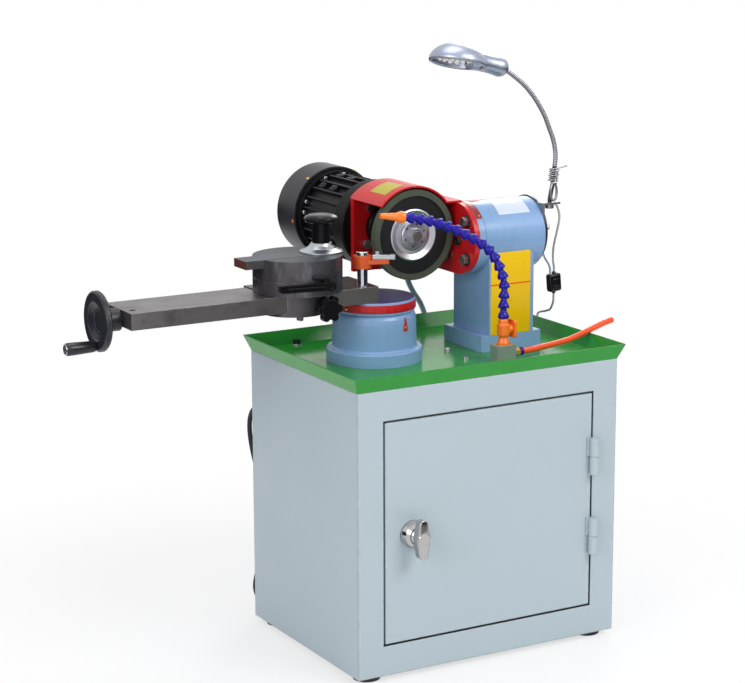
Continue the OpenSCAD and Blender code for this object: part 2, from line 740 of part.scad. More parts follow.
module clamp_lever() color("black") {
    ycyl(lever_x, lever_y - 7, lever_y, lever_z, 7);
    ycyl(lever_x, lever_y - 1, drum_y - drum_r + 30, lever_z, lever_pin_r);
    yplate(lever_y - 6.5, lever_y - 1.5)
        polygon([[lever_x, lever_z - 5.5], [lever_x, lever_z + 5.5], [lever_x - lever_len, lever_z + 7],
            [lever_x - lever_len, lever_z - 0.5], [lever_x - lever_len + 4, lever_z - 3.2]]);
}

module gib_knob() color("black") {
    y0 = neck_front - 14.5;
    y1 = neck_front - 3;
    ycyl(star_x, y1 - 1, bar_front - face_gap, star_z, star_pin_r);
    ycyl(star_x, y1 - 1, neck_front - face_gap, star_z, 8);
    ycyl(star_x, y0, y1, star_z, star_r - 5);
    for (a = [0 : 60 : 300])
        translate([star_x, 0, star_z]) rotate([0, a, 0]) ycyl(star_r - 5.5, y0 + 1, y1 - 1, 0, 5.5);
}

module seat_disc() color("gray") difference() {
    zcyl(car_x, drum_y, seat_z, seat_top, drum_r);
    zcyl(car_x, drum_y, seat_z - eps, seat_z + spigot_h, spigot_r + run_fit);
    box(car_x - drum_r - 1, car_x + drum_r + 1, drum_y - slide_w / 2 - face_gap,
        drum_y + slide_w / 2 + face_gap, slide_top - slide_t - face_gap, seat_top + eps);
}

module cone_slide() color("gray") {
    box(car_x - slide_out, cone_x + 21, drum_y - slide_w / 2, drum_y + slide_w / 2,
        slide_top - slide_t, slide_top);
    zcyl(cone_x, drum_y, slide_top - 1, cone_top + knob_h - 8, stud_r);
}

module centre_cone() color("silver") {
    zturn(cone_x, drum_y, [
        [stud_r + 0.1, slide_top], [cone_r, slide_top], [cone_r, slide_top + 2],
        [cone_r - 4, slide_top + 3.2], [cone_r - 9, slide_top + 5.5], [knob_stem_r + 4, slide_top + 9],
        [knob_stem_r + 1.5, cone_top], [stud_r + 0.1, cone_top]]);
}

module clamp_knob() color("black") {
    z0 = cone_top + face_gap;
    z1 = cone_top + knob_h;
    zturn(cone_x, drum_y, [
        [stud_r + run_fit, z0], [knob_stem_r, z0], [knob_stem_r, z1 - 12], [knob_r - 4, z1 - 10.5],
        [knob_r - 1, z1 - 9.5], [knob_r, z1 - 8], [knob_r, z1 - 5.5], [knob_r - 1.5, z1 - 3],
        [knob_r - 6, z1 - 0.8], [knob_r - 12, z1], [0, z1], [0, z1 - 7], [stud_r + run_fit, z1 - 7]]);
}

module stop_post() color("silver") {
    zturn(post_x, post_y, [
        [0, bar_z + 1], [post_r, bar_z + 1], [post_r, hub_z - face_gap], [post_r - 1.5, hub_z - face_gap],
        [post_r - 1.5, hub_z + hub_h + face_gap], [post_r + 1, hub_z + hub_h + face_gap],
        [post_r + 1, hub_z + hub_h + 4.5], [post_r, hub_z + hub_h + 5.5], [0, hub_z + hub_h + 5.5]]);
}

module stop_arm() color("orange") difference() {
    union() {
        zcyl(post_x, post_y, hub_z, hub_z + hub_h, hub_r);
        translate([post_x, post_y, hub_z + arm_up]) rotate([0, 0, stop_turn]) linear_extrude(arm_t)
            polygon([[4, -10], [34, -5], [36, -3], [36, 3], [34, 5], [4, 10]]);
    }
    zcyl(post_x, post_y, hub_z - eps, hub_z + hub_h + eps, post_r - 1.5 + run_fit);
}

module stop_finger() color("silver") {
    z = hub_z + arm_up + arm_t + face_gap;
    translate([post_x, post_y, z]) rotate([0, 0, stop_turn]) {
        translate([hub_r + 1, -4, 0]) cube([finger_len, 8, finger_h]);
        translate([hub_r + 8, 0, finger_h - 0.5]) cylinder(r = 3.2, h = 4.5);
    }
}

module column() color("cornflowerblue") difference() {
    union() {
        box(col_x - col_flange / 2, col_x + col_flange / 2, col_y - col_d / 2,
            col_y - col_d / 2 + col_flange, deck_z, deck_z + col_flange_h);
        box(col_x - col_w / 2, col_x + col_w / 2, col_y - col_d / 2, col_y + col_d / 2,
            deck_z + 1, barrel_z);
        xcyl(barrel_x0, barrel_x1, col_y, barrel_z, barrel_r);
    }
    xcyl(barrel_x0 - eps, barrel_x0 + 80, col_y, barrel_z, pivot_r + run_fit);
}

module head_collar() color("cornflowerblue") difference() {
    union() {
        xcyl(collar_x0, barrel_x0 - face_gap, col_y, barrel_z, barrel_r);
        xcyl(collar_x0 + 1, barrel_x0 + 78, col_y, barrel_z, pivot_r);
    }
    for (a = [45 : 90 : 315])
        xcyl(collar_x0 - eps, barrel_x0 - face_gap - 1.5, col_y + bolt_ring * cos(a),
            barrel_z + bolt_ring * sin(a), bolt_r + 0.05);
}

module head_bracket() color("red") difference() {
    union() {
        xcyl(plate_x0, plate_x1, col_y, barrel_z, barrel_r);
        box(plate_x0, plate_x1, col_y, back_y1, barrel_z - barrel_r, barrel_z + barrel_r);
        box(wheel_x - plate_out, plate_x0 + 1, back_y0, back_y1, barrel_z - barrel_r, wheel_z);
        intersection() {
            ycyl(wheel_x, back_y0, back_y1, wheel_z, guard_r);
            box(wheel_x - plate_out, plate_x0 + 1, back_y0 - 1, back_y1 + 1, wheel_z - 30,
                wheel_z + guard_r);
        }
        box(wheel_x, plate_x0 + 1, back_y0, back_y1, wheel_z - 30, barrel_z + barrel_r);
    }
    for (a = [45 : 90 : 315])
        xcyl(plate_x0 - eps, plate_x1 + eps, col_y + bolt_ring * cos(a),
            barrel_z + bolt_ring * sin(a), bolt_r + 0.05);
    ycyl(wheel_x, back_y0 - eps, back_y1 + eps, wheel_z, 28.2);
    for (a = [38 : 90 : 308])
        ycyl(wheel_x + motor_ring * cos(a), back_y0 - eps, back_y1 + eps,
            wheel_z + motor_ring * sin(a), bolt_r + 0.05);
}

module head_bolts() color("silver") {
    for (a = [45 : 90 : 315])
        translate([plate_x0, col_y + bolt_ring * cos(a), barrel_z + bolt_ring * sin(a)])
            rotate([0, -90, 0]) {
                cylinder(r = 2.3 * bolt_r, h = 1.8);
                translate([0, 0, 1.7]) cylinder(r = 1.85 * bolt_r, h = 5.6, $fn = 6);
                translate([0, 0, -plate_t - head_collar_t + 2]) cylinder(r = bolt_r, h = plate_t + 9);
            }
    for (a = [38 : 90 : 308])
        translate([wheel_x + motor_ring * cos(a), back_y0, wheel_z + motor_ring * sin(a)])
            rotate([90, 0, 0]) {
                cylinder(r = 1.7 * bolt_r, h = 5.5, $fn = 6);
                translate([0, 0, -plate_t - 7]) cylinder(r = bolt_r, h = plate_t + 8);
            }
}

module wheel_guard() color("firebrick") {
    far = 2 * guard_r;
    x0 = wheel_x + guard_r * cos(guard_a) + 0.25 * guard_t;
    difference() {
        ycyl(wheel_x, col_y, back_y0, wheel_z, guard_r + guard_t);
        ycyl(wheel_x, col_y - eps, back_y0 + eps, wheel_z, guard_r);
        yplate(col_y - eps, back_y0 + eps) translate([wheel_x, wheel_z]) polygon([
            [0, 0], [far * cos(140), far * sin(140)], [-far, -far], [far, -far],
            [far * cos(guard_a), far * sin(guard_a)]]);
    }
    box(x0, plate_x1, col_y, back_y0, barrel_z + barrel_r, barrel_z + barrel_r + guard_t);
}

module motor_body() color("darkslategray") difference() {
    union() {
        ycyl(wheel_x, frame_y, rear_y, wheel_z, motor_r);
        for (a = [0 : 15 : 345])
            translate([wheel_x, frame_y, wheel_z]) rotate([0, a, 0])
                translate([motor_r - 3, 3, -1.3]) cube([fin_r - motor_r + 3, frame_len - 6, 2.6]);
        box(wheel_x + 42, wheel_x + 82, frame_y + 2, frame_y + 48, term_z, wheel_z + 25);
        zcyl(term_x, term_y, term_z - 13, term_z + 1, 8);
    }
    zcyl(term_x, term_y, term_z - 14, term_z - 8, motor_cable_r + 0.3);
    ycyl(wheel_x, frame_y - eps, rear_y + eps, wheel_z, motor_r - 8);
}

module end_shields() color("darkslategray") difference() {
    union() {
        yturn(wheel_x, wheel_z, [
            [shaft_r + 1, back_y1 - plate_t - 9], [26, back_y1 - plate_t - 9], [28, back_y1 - plate_t - 7],
            [28, back_y1], [shield_r - 2, back_y1], [shield_r, back_y1 + 2], [shield_r, frame_y],
            [bearing_r + 0.05, frame_y], [bearing_r + 0.05, back_y1 + 4], [shaft_r + 1, back_y1 + 4]]);
        yturn(wheel_x, wheel_z, [
            [bearing_r + 0.05, rear_y], [shield_r, rear_y], [shield_r, cowl_y - 1],
            [cowl_r - 2.05, cowl_y - 1], [cowl_r - 2.05, cowl_y + 5], [shaft_r + 1, cowl_y + 5],
            [shaft_r + 1, cowl_y + 3], [bearing_r + 0.05, cowl_y + 3]]);
    }
    for (a = [38 : 90 : 308])
        ycyl(wheel_x + motor_ring * cos(a), back_y1 - eps, back_y1 + 7.5,
            wheel_z + motor_ring * sin(a), bolt_r + 0.05);
}

module motor_bearings() color("silver") {
    for (y = [back_y1 + 4, rear_y])
        yturn(wheel_x, wheel_z, [[shaft_r + run_fit, y], [bearing_r, y], [bearing_r, y + 12],
            [shaft_r + run_fit, y + 12]]);
}

module stator() color("orangered") {
    yturn(wheel_x, wheel_z, [[26, frame_y + 12], [motor_r - 8.05, frame_y + 12],
        [motor_r - 8.05, rear_y - 12], [26, rear_y - 12]]);
}

module fan_cowl() color("darkslategray") difference() {
    yturn(wheel_x, wheel_z, [
        [cowl_r - 2, cowl_y], [cowl_r, cowl_y], [cowl_r, cowl_end - 8], [cowl_r - 3, cowl_end - 3],
        [cowl_r - 8, cowl_end], [0, cowl_end], [0, cowl_end - 2], [cowl_r - 9, cowl_end - 2],
        [cowl_r - 5, cowl_end - 4.5], [cowl_r - 2, cowl_end - 9]]);
    for (r = [18, 30, 42], a = [0 : 1080 / r : 359])
        translate([wheel_x, 0, wheel_z]) rotate([0, a, 0])
            ycyl(r, cowl_end - 3, cowl_end + 1, 0, 3.6);
}

module rotor_shaft() color("silver") {
    yturn(wheel_x, wheel_z, [
        [0, stone_y - 9], [7, stone_y - 9], [7, stone_y + 2], [shaft_r, stone_y + 3],
        [shaft_r, frame_y + 14], [25.5, frame_y + 14], [25.5, rear_y - 14], [shaft_r, rear_y - 14],
        [shaft_r, cowl_end - 14], [0, cowl_end - 14]]);
}

module fan() color("black") difference() {
    union() {
        ycyl(wheel_x, cowl_y + 12, cowl_y + 30, wheel_z, 18);
        ycyl(wheel_x, cowl_y + 11, cowl_y + 14, wheel_z, 46);
        for (a = [0 : 45 : 315])
            translate([wheel_x, 0, wheel_z]) rotate([0, a, 0])
                box(16, 50, cowl_y + 11, cowl_y + 30, -1.2, 1.2);
    }
    ycyl(wheel_x, cowl_y + 10, cowl_y + 31, wheel_z, shaft_r + 0.02);
}

module wheel_hub() color("silver") {
    yturn(wheel_x, wheel_z, [
        [shaft_r + 0.02, stone_y + 3], [7.02, stone_y + 2], [7.02, stone_y - 1], [13, stone_y - 1],
        [15, stone_y + 2], [21, stone_y + 2], [22, stone_y + 4], [stone_hub_r - 9, stone_y + 5],
        [stone_hub_r - 2, stone_y + 1], [stone_hub_r, stone_y + 2], [stone_hub_r, stone_y + stone_t + 3],
        [22, stone_y + stone_t + 6], [20, stone_y + stone_t + 36], [shaft_r + 0.02, stone_y + stone_t + 36]]);
    difference() {
        translate([wheel_x, stone_y - 1, wheel_z]) rotate([90, 0, 0]) cylinder(r = 11, h = 7, $fn = 6);
        ycyl(wheel_x, stone_y - 10, stone_y, wheel_z, 7.02);
    }
}

module grinding_wheel() color("darkolivegreen") {
    r = stone_d / 2;
    yturn(wheel_x, wheel_z, [
        [stone_hub_r + 0.02, stone_y + 2.5], [r - stone_rim, stone_y + 2.5], [r - stone_rim, stone_y],
        [r - 0.5, stone_y], [r, stone_y + 0.5], [r, stone_y + 10], [r - stone_rim + 1, stone_y + stone_t],
        [stone_hub_r + 0.02, stone_y + stone_t]]);
}

module coolant_manifold() color("silver") difference() {
    union() {
        box(mani_x - mani_w / 2, tail_x, mani_y - mani_d / 2, mani_y + mani_d / 2, deck_z, valve_z);
        translate([tail_x - 1, mani_y, tail_z]) rotate([0, 90, 0]) cylinder(r = 6, h = 11, $fn = 6);
        xcyl(tail_x + 9, tail_x + 23, mani_y, tail_z, hose_bore - 0.2);
    }
    zcyl(mani_x, mani_y, tail_z - 1.5, valve_z + 1, 4);
    xcyl(mani_x, tail_x + 24, mani_y, tail_z, 1.5);
}

module valve_body() color("darkorange") difference() {
    union() {
        zturn(mani_x, mani_y, [
            [4, valve_z], [9, valve_z], [9, valve_z + 3], [6.5, valve_z + 9], [6.5, valve_z + 11],
            [8.8, valve_z + 14], [8.8, valve_z + 28], [7, valve_z + 30], [7, valve_top - 3],
            [6, valve_top], [4, valve_top]]);
        xcyl(mani_x + 5, mani_x + 12, mani_y, paddle_z, 6.5);
    }
    xcyl(mani_x + 2, mani_x + 13, mani_y, paddle_z, 3 + run_fit);
}

module valve_lever() color("darkorange") {
    xcyl(mani_x + 5, mani_x + 16.5, mani_y, paddle_z, 3);
    xcyl(mani_x + 12 + face_gap, mani_x + 16.5, mani_y, paddle_z, 6);
    xplate(mani_x + 12.5, mani_x + 16.5) translate([mani_y, paddle_z]) union() {
        translate([-8, 3 - paddle_len / 2]) square([16, paddle_len - 6]);
        translate([-5, -paddle_len / 2]) square([10, paddle_len]);
        for (y = [-5, 5], z = [3 - paddle_len / 2, paddle_len / 2 - 3])
            translate([y, z]) circle(r = 3);
    }
}

module coolant_hose() color("orangered") {
    p = smooth(hose_path, 2);
    pipe(p, same(len(p), hose_r), hose_bore, 10);
}

// The modules of the jet hose: each ball tapers to a waist and flares to the next
module jet_hose() color("midnightblue") {
    p = smooth(jet_path, 3);
    n = len(p);
    radii = [for (i = [0 : n - 1]) i % 3 == 0 ? 7.7 : i % 3 == 1 ? 5 : 5.9];
    pipe(p, radii, 3, 12);
}

module jet_nozzle() color("darkorange") {
    p = smooth(jet_path, 3);
    n = len(p);
    way = unit(p[n - 1] - p[n - 2]);
    translate(p[n - 1] + way * face_gap) rotate([0, acos(way[2]), atan2(way[1], way[0])])
        rotate_extrude() polygon([[2, 0], [7.5, 0], [8, 6], [5.5, 12], [3.4, 35], [1.8, 35]]);
}

module lamp_bracket() color("silver") difference() {
    union() {
        box(barrel_x1, barrel_x1 + 3, lamp_y - 8, lamp_y + 8, barrel_z + 12, tab_z);
        box(barrel_x1, tab_x + 13, lamp_y - 8, lamp_y + 8, tab_z - 3, tab_z);
        xcyl(barrel_x1 + 2, barrel_x1 + 6, lamp_y, barrel_z + 22, 5);
        zcyl(tab_x, lamp_y, tab_z - 9, tab_z - 1, 6);
    }
    zcyl(tab_x + 9, lamp_y + 3, tab_z - 4, tab_z + 1, lamp_cord_r + 0.3);
}

module gooseneck() color("silver") {
    p = concat(smooth(neck_path, 2), [neck_end + unit(neck_way) * 14]);
    tube(p, neck_tube_r, 12);
}

// Wire wound tightly round the straight part of the gooseneck, with a loose end
tie_turns = 6;
tie_pitch = 2 * wire_r + 0.9;
tie_ring_r = neck_tube_r + wire_r + 0.4;
tie_way = unit([3, 0, 24]);
tie_side = unit(cross([0, 1, 0], tie_way));
tie_from = neck_path[2] + tie_way * 2.5;
tie_helix = [for (i = [0 : 24 * tie_turns]) let (a = 15 * i - 90)
    tie_from + tie_way * (tie_pitch * i / 24)
    + tie_ring_r * (cos(a) * tie_side + sin(a) * [0, 1, 0])];
tie_last = tie_helix[len(tie_helix) - 1];
tie_path = concat(
    [for (k = [3, 2, 1]) tie_helix[0] - tie_side * (2.2 * k) - tie_way * (0.9 * k)],
    tie_helix,
    [for (k = [1 : 6]) tie_last + tie_side * (2.4 * k) + tie_way * (0.8 * k) - [0, 0.5 * k, 0]]);

module tie_wire() color("silver") tube(tie_path, wire_r, 6);

module lamp_head() color("silver") difference() {
    c = neck_end + unit(neck_way) * 17 - [0, 0, 3];
    union() {
        translate(c) sphere(r = bulb_r);
        translate(c) rotate([0, -75, 0]) cylinder(r1 = 14, r2 = 11, h = 50);
        translate(dome_at) rotate([-dome_lean, dome_tip, 0]) rotate_extrude() polygon([
            [0, 0], [dome_r - 3, 0], [dome_r - 1, 0.6], [dome_r, 3], [dome_r - 0.4, 7], [dome_r - 3, 13],
            [dome_r - 8, 19], [dome_r - 15, 24], [dome_r - 24, 27.5], [dome_r - 32, dome_h - 0.2],
            [0, dome_h]]);
    }
    translate(dome_at) rotate([-dome_lean, dome_tip, 0]) translate([0, 0, -1])
        cylinder(r = dome_r - 6, h = lens_in + 3);
    translate(neck_end - unit(neck_way) * 4)
        rotate([0, acos(unit(neck_way)[2]), atan2(neck_way[1], neck_way[0])])
            cylinder(r = neck_tube_r + run_fit, h = 18 + face_gap);
}

module lamp_lens() color("white") {
    translate(dome_at) rotate([-dome_lean, dome_tip, 0]) translate([0, 0, lens_in])
        cylinder(r = dome_r - 6.1, h = 2);
}

module lamp_cord() color("gray") {
    tube(smooth(lamp_route, 3), lamp_cord_r, 8);
    tube(smooth(lamp_spur, 3), lamp_cord_r, 8);
}

module inline_switch() color("black") difference() {
    translate([switch_at[0], switch_at[1], switch_at[2] - switch_h / 2]) union() {
        translate([-switch_w / 2, -6, 0]) cube([switch_w, 12, switch_h]);
        translate([0, 0, -6]) cylinder(r1 = 2.6, r2 = 5, h = 7);
        translate([0, 0, switch_h - 1]) cylinder(r1 = 5, r2 = 2.6, h = 7);
    }
    zcyl(switch_at[0], switch_at[1], switch_at[2] - switch_h, switch_at[2] + switch_h, lamp_cord_r + 0.3);
}

module cable_glands() color("black") {
    m = motor_gland;
    difference() {
        union() {
            ycyl(m[0], m[1] - sheet - 6, m[1] + 18, m[2] - 10, 8);
            ycyl(m[0], m[1] - sheet - 5, m[1] - sheet, m[2] - 10, 11);
            ycyl(m[0], m[1], m[1] + 4, m[2] - 10, 11);
            zcyl(m[0], m[1] + 20, m[2] - 20, m[2] + 14, 8);
        }
        zcyl(m[0], m[1] + 20, m[2] + 8, m[2] + 15, motor_cable_r + 0.2);
    }
    g = mains_gland;
    difference() {
        union() {
            ycyl(g[0], g[1] - sheet - 6, g[1] + 1, g[2], 8);
            ycyl(g[0], g[1] - sheet - 5, g[1] - sheet, g[2], 11);
            yturn(g[0], g[2], [[0, g[1]], [11, g[1]], [11, g[1] + 5], [8.5, g[1] + 7], [5, g[1] + 36],
                [0, g[1] + 36]]);
        }
        ycyl(g[0], g[1] + 12, g[1] + 37, g[2], mains_r + 0.2);
    }
    l = lamp_gland;
    difference() {
        union() {
            xcyl(l[0] - sheet - 6, l[0] + 11, l[1], l[2] - 8, 6);
            xcyl(l[0] - sheet - 4, l[0] - sheet, l[1], l[2] - 8, 9);
            xcyl(l[0], l[0] + 3, l[1], l[2] - 8, 9);
            zcyl(l[0] + 12, l[1], l[2] - 15, l[2] + 8, 5.5);
        }
        zcyl(l[0] + 12, l[1], l[2] + 3, l[2] + 9, lamp_cord_r + 0.2);
    }
}

module motor_cable() color("dimgray") tube(smooth(cable_route, 3), motor_cable_r, 10);

module mains_cord() color("black") tube(smooth(mains_route, 2), mains_r, 10);

// The unused lead: two layers of turns, spiralling in and out again
coil_lift = 2 * mains_r + 0.8;
function coil_at(i) = let (t = i / 24 - coil_turns, r = coil_in_r + coil_pitch * abs(t),
    a = 270 + 360 * (t + coil_turns), up = max(0, min(1, 2 * t + 0.5)))
    [coil_c[0] + r * cos(a), coil_c[1] + r * sin(a), mains_r + coil_lift * up];
plug_z = 15;
coil_end = coil_at(48 * coil_turns);
coil_path = concat([coil_start], [for (i = [1 : 48 * coil_turns]) coil_at(i)],
    [for (p = [[9, 0.3, 0.6], [18, 1, 1.6], [28, 2, 2.8], [38, 3, 3.5], [46, 3, 3.7]])
        [coil_end[0] + p[0], coil_end[1] + p[1], coil_end[2] + p[2]
            * (plug_z - mains_r - coil_lift) / 3.7]]);

module mains_coil() color("black") tube(coil_path, mains_r, 6);

module mains_plug() color("black") {
    x = coil_end[0] + 46 + face_gap;
    y = coil_end[1] + 3;
    xturn(y, plug_z, [[0, x], [5, x], [7, x + 26], [12, x + 30], [15, x + 38], [15, x + 62], [0, x + 62]]);
    for (s = [-1, 1])
        xcyl(x + 61, x + 81, y + 9.5 * s, plug_z, 2.4);
}

function least_gap(p, r, skip) = min([for (i = [0 : len(p) - 1 - skip], j = [i + skip : len(p) - 1])
    norm(p[i] - p[j])]) - 2 * r;
echo(coil_gap = least_gap(coil_path, mains_r, 9));
echo(tie_gap = least_gap(tie_path, wire_r, 9));

cabinet_wrap();
cabinet_decks();
front_frame();
feet();
drip_tray();
tray_fasteners();
hinge_posts();
door_panel();
hinge_barrels();
lock_escutcheon();
lock_handle();
swivel_base();
turntable();
arm_bar();
lead_screw();
handwheel();
crank_grip();
carriage();
screw_nut();
clamp_lever();
gib_knob();
seat_disc();
cone_slide();
centre_cone();
clamp_knob();
stop_post();
stop_arm();
stop_finger();
column();
head_collar();
head_bracket();
head_bolts();
wheel_guard();
motor_body();
end_shields();
motor_bearings();
stator();
fan_cowl();
rotor_shaft();
fan();
wheel_hub();
grinding_wheel();
coolant_manifold();
valve_body();
valve_lever();
coolant_hose();
jet_hose();
jet_nozzle();
lamp_bracket();
gooseneck();
tie_wire();
lamp_head();
lamp_lens();
lamp_cord();
inline_switch();
cable_glands();
motor_cable();
mains_cord();
mains_coil();
mains_plug();
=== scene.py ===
"""Looks of the saw blade sharpener: camera, light, leads, trim and materials."""

import math

import bmesh
import bpy
import numpy as np
from mathutils import Matrix, Vector

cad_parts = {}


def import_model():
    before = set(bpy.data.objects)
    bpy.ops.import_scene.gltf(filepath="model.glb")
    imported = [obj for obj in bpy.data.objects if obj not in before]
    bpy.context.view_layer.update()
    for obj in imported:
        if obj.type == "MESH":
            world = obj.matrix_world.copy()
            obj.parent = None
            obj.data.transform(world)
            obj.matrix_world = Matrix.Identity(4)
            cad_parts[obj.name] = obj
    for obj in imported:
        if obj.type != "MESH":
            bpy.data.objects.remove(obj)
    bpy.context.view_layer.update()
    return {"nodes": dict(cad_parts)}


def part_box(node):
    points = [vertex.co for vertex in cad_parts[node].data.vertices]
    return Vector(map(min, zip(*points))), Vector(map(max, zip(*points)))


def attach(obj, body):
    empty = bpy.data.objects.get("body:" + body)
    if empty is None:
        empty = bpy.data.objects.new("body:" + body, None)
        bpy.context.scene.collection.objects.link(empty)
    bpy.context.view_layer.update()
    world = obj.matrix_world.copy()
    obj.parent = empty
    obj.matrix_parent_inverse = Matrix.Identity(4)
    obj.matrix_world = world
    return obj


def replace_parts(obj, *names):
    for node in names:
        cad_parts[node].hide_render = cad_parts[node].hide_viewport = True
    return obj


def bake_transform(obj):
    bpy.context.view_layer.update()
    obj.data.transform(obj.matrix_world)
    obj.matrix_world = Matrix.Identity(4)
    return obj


MM = 0.001
RIGHT, LEFT, UP, DOWN, FRONT, BACK = (1, 0, 0), (-1, 0, 0), (0, 0, 1), (0, 0, -1), (0, -1, 0), (0, 1, 0)

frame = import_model()
nodes = frame["nodes"]
scene = bpy.context.scene
scene.view_settings.view_transform = "Standard"


def box_mm(node):
    """Low and high corner of a solid, in millimetres."""
    return [tuple(c / MM for c in corner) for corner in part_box(node)]


# Camera and light helpers

PHOTO_WIDTH = 745
FOCAL_PIXELS = 2212.68
SENSOR = 36


def make_camera():
    """Camera fitted to the photograph: angles, distance and the point it looks at."""
    azimuth, elevation, roll, distance = -0.5165, 0.2174, -0.0038, 3.0131
    target = Vector((-0.0952, 0, 0.4266))
    level = math.cos(elevation)
    back = Vector((math.sin(azimuth) * level, -math.cos(azimuth) * level, math.sin(elevation)))
    right = (-back).cross(Vector(UP)).normalized()
    up = right.cross(-back)
    c, s = math.cos(roll), math.sin(roll)
    turned = Matrix((right * c + up * s, up * c - right * s, back)).transposed()
    data = bpy.data.cameras.new("camera")
    data.sensor_width = SENSOR
    data.lens = SENSOR * FOCAL_PIXELS / PHOTO_WIDTH
    data.clip_end = 50
    cam = bpy.data.objects.new("camera", data)
    scene.collection.objects.link(cam)
    cam.matrix_world = Matrix.Translation(target + back * distance) @ turned.to_4x4()
    scene.camera = cam


def area_light(name, place, target, size, power):
    data = bpy.data.lights.new(name, "AREA")
    data.shape = "RECTANGLE"
    data.size, data.size_y = size
    data.energy = power
    light = bpy.data.objects.new(name, data)
    scene.collection.objects.link(light)
    light.location = place
    light.rotation_euler = (Vector(target) - Vector(place)).to_track_quat("-Z", "Y").to_euler()


make_camera()

# Material helpers


class Look:
    """A node material with a Principled shader."""

    def __init__(self, name):
        self.material = bpy.data.materials.new(name)
        self.material.use_nodes = True
        self.tree = self.material.node_tree
        self.tree.nodes.clear()
        self.out = self.tree.nodes.new("ShaderNodeOutputMaterial")
        self.shader = self.tree.nodes.new("ShaderNodeBsdfPrincipled")
        self.tree.links.new(self.shader.outputs[0], self.out.inputs[0])
        self.object = self.add("ShaderNodeTexCoord").outputs["Object"]

    def add(self, kind, inputs=None, **settings):
        made = self.tree.nodes.new(kind)
        for key, value in settings.items():
            setattr(made, key, value)
        for key, value in (inputs or {}).items():
            self.put(made.inputs[key], value)
        return made

    def put(self, socket, value):
        if isinstance(value, bpy.types.NodeSocket):
            self.tree.links.new(value, socket)
        else:
            socket.default_value = value

    def set(self, **values):
        for key, value in values.items():
            self.put(self.shader.inputs[key.replace("_", " ")], value)

    def math(self, operation, a, b=0.0):
        return self.add("ShaderNodeMath", {0: a, 1: b}, operation=operation).outputs[0]

    def stretched(self, scale):
        return self.add("ShaderNodeMapping", {"Vector": self.object, "Scale": scale}).outputs[0]

    def noise(self, scale, detail=3.0, vector=None):
        where = self.object if vector is None else vector
        made = self.add("ShaderNodeTexNoise", {"Vector": where, "Scale": scale, "Detail": detail})
        return made.outputs[0]

    def rings(self, centre, axis, scale, detail=2.0):
        """Noise that depends only on the distance from an axis, as on a turned face."""
        made = self.add(
            "ShaderNodeTexNoise",
            {"W": self.radius(centre, axis), "Scale": scale, "Detail": detail},
            noise_dimensions="1D",
        )
        return made.outputs[0]

    def radius(self, centre, axis):
        flat = [0.0 if "xyz".index(axis) == i else 1.0 for i in range(3)]
        moved = self.add("ShaderNodeVectorMath", {0: self.object, 1: centre}, operation="SUBTRACT")
        kept = self.add("ShaderNodeVectorMath", {0: moved.outputs[0], 1: flat}, operation="MULTIPLY")
        return self.add("ShaderNodeVectorMath", {0: kept.outputs[0]}, operation="LENGTH").outputs["Value"]

    def place(self, axis):
        return self.add("ShaderNodeSeparateXYZ", {0: self.object}).outputs["XYZ".index(axis)]

    def between(self, value, low, high):
        above = self.math("GREATER_THAN", value, low)
        return self.math("MULTIPLY", above, self.math("LESS_THAN", value, high))

    def fade(self, value, low, high, to_low=0.0, to_high=1.0):
        return self.add(
            "ShaderNodeMapRange",
            {"Value": value, "From Min": low, "From Max": high, "To Min": to_low, "To Max": to_high},
        ).outputs[0]

    def blend(self, mask, a, b):
        made = self.add("ShaderNodeMix", data_type="RGBA")
        for socket, value in ((made.inputs[0], mask), (made.inputs[6], a), (made.inputs[7], b)):
            self.put(socket, rgba(value) if isinstance(value, tuple) else value)
        return made.outputs[2]

    def bump(self, height, strength, distance, normal=None):
        made = self.add(
            "ShaderNodeBump", {"Height": height, "Strength": strength, "Distance": distance}
        )
        if normal is not None:
            self.put(made.inputs["Normal"], normal)
        return made.outputs[0]

    def rounded(self, radius):
        return self.add("ShaderNodeBevel", {"Radius": radius}, samples=4).outputs[0]

    def edges(self, radius):
        """High along sharp edges."""
        soft = self.rounded(radius)
        flat = self.add("ShaderNodeNewGeometry").outputs["Normal"]
        dot = self.add("ShaderNodeVectorMath", {0: soft, 1: flat}, operation="DOT_PRODUCT").outputs["Value"]
        return self.fade(dot, 0.995, 0.86)


def rgba(colour):
    return (*colour, 1.0)


def srgb(r, g, b):
    """Scene colour of an 8-bit screen colour."""
    return tuple(c / 255 / 12.92 if c <= 10 else ((c / 255 + 0.055) / 1.055) ** 2.4 for c in (r, g, b))


def shade(colour, factor):
    return tuple(min(1.0, c * factor) for c in colour)


def surface(
    name, colour, rough=0.4, metallic=0.0, mottle=0.08, mottle_scale=22.0, grain=0.12, grain_scale=650.0,
    depth=0.0003, smudge=0.08, stretch=None, edge=None, edge_mask=0.6, bevel=0.0007, coat=0.0, specular=0.5,
):
    """A finish with mottled colour, uneven gloss, a fine grain and softened edges that turn lighter: part
    wear, part painted highlight.
    """
    look = Look(name)
    colour = srgb(*colour)
    base = look.blend(look.noise(mottle_scale, 4.0), shade(colour, 1 - mottle), shade(colour, 1 + mottle))
    fine = look.noise(grain_scale, 2.0, look.stretched(stretch) if stretch else None)
    # Lighter colour along sharp edges, broken up by noise: part wear, part painted highlight.
    if edge:
        lit_worn_edge = look.math("MULTIPLY", look.edges(bevel * 1.6), look.fade(look.noise(160.0, 3.0), 0.42, 0.62))
        base = look.blend(look.math("MULTIPLY", lit_worn_edge, edge_mask), base, srgb(*edge))
    look.base = base
    uneven = look.fade(look.noise(9.0, 3.0), 0.3, 0.7, rough - smudge, rough + smudge)
    look.set(Base_Color=base, Roughness=uneven, Metallic=metallic, Specular_IOR_Level=specular)
    look.set(Coat_Weight=coat, Coat_Roughness=0.12)
    look.normal = look.bump(fine, grain, depth, look.rounded(bevel))
    look.set(Normal=look.normal)
    return look


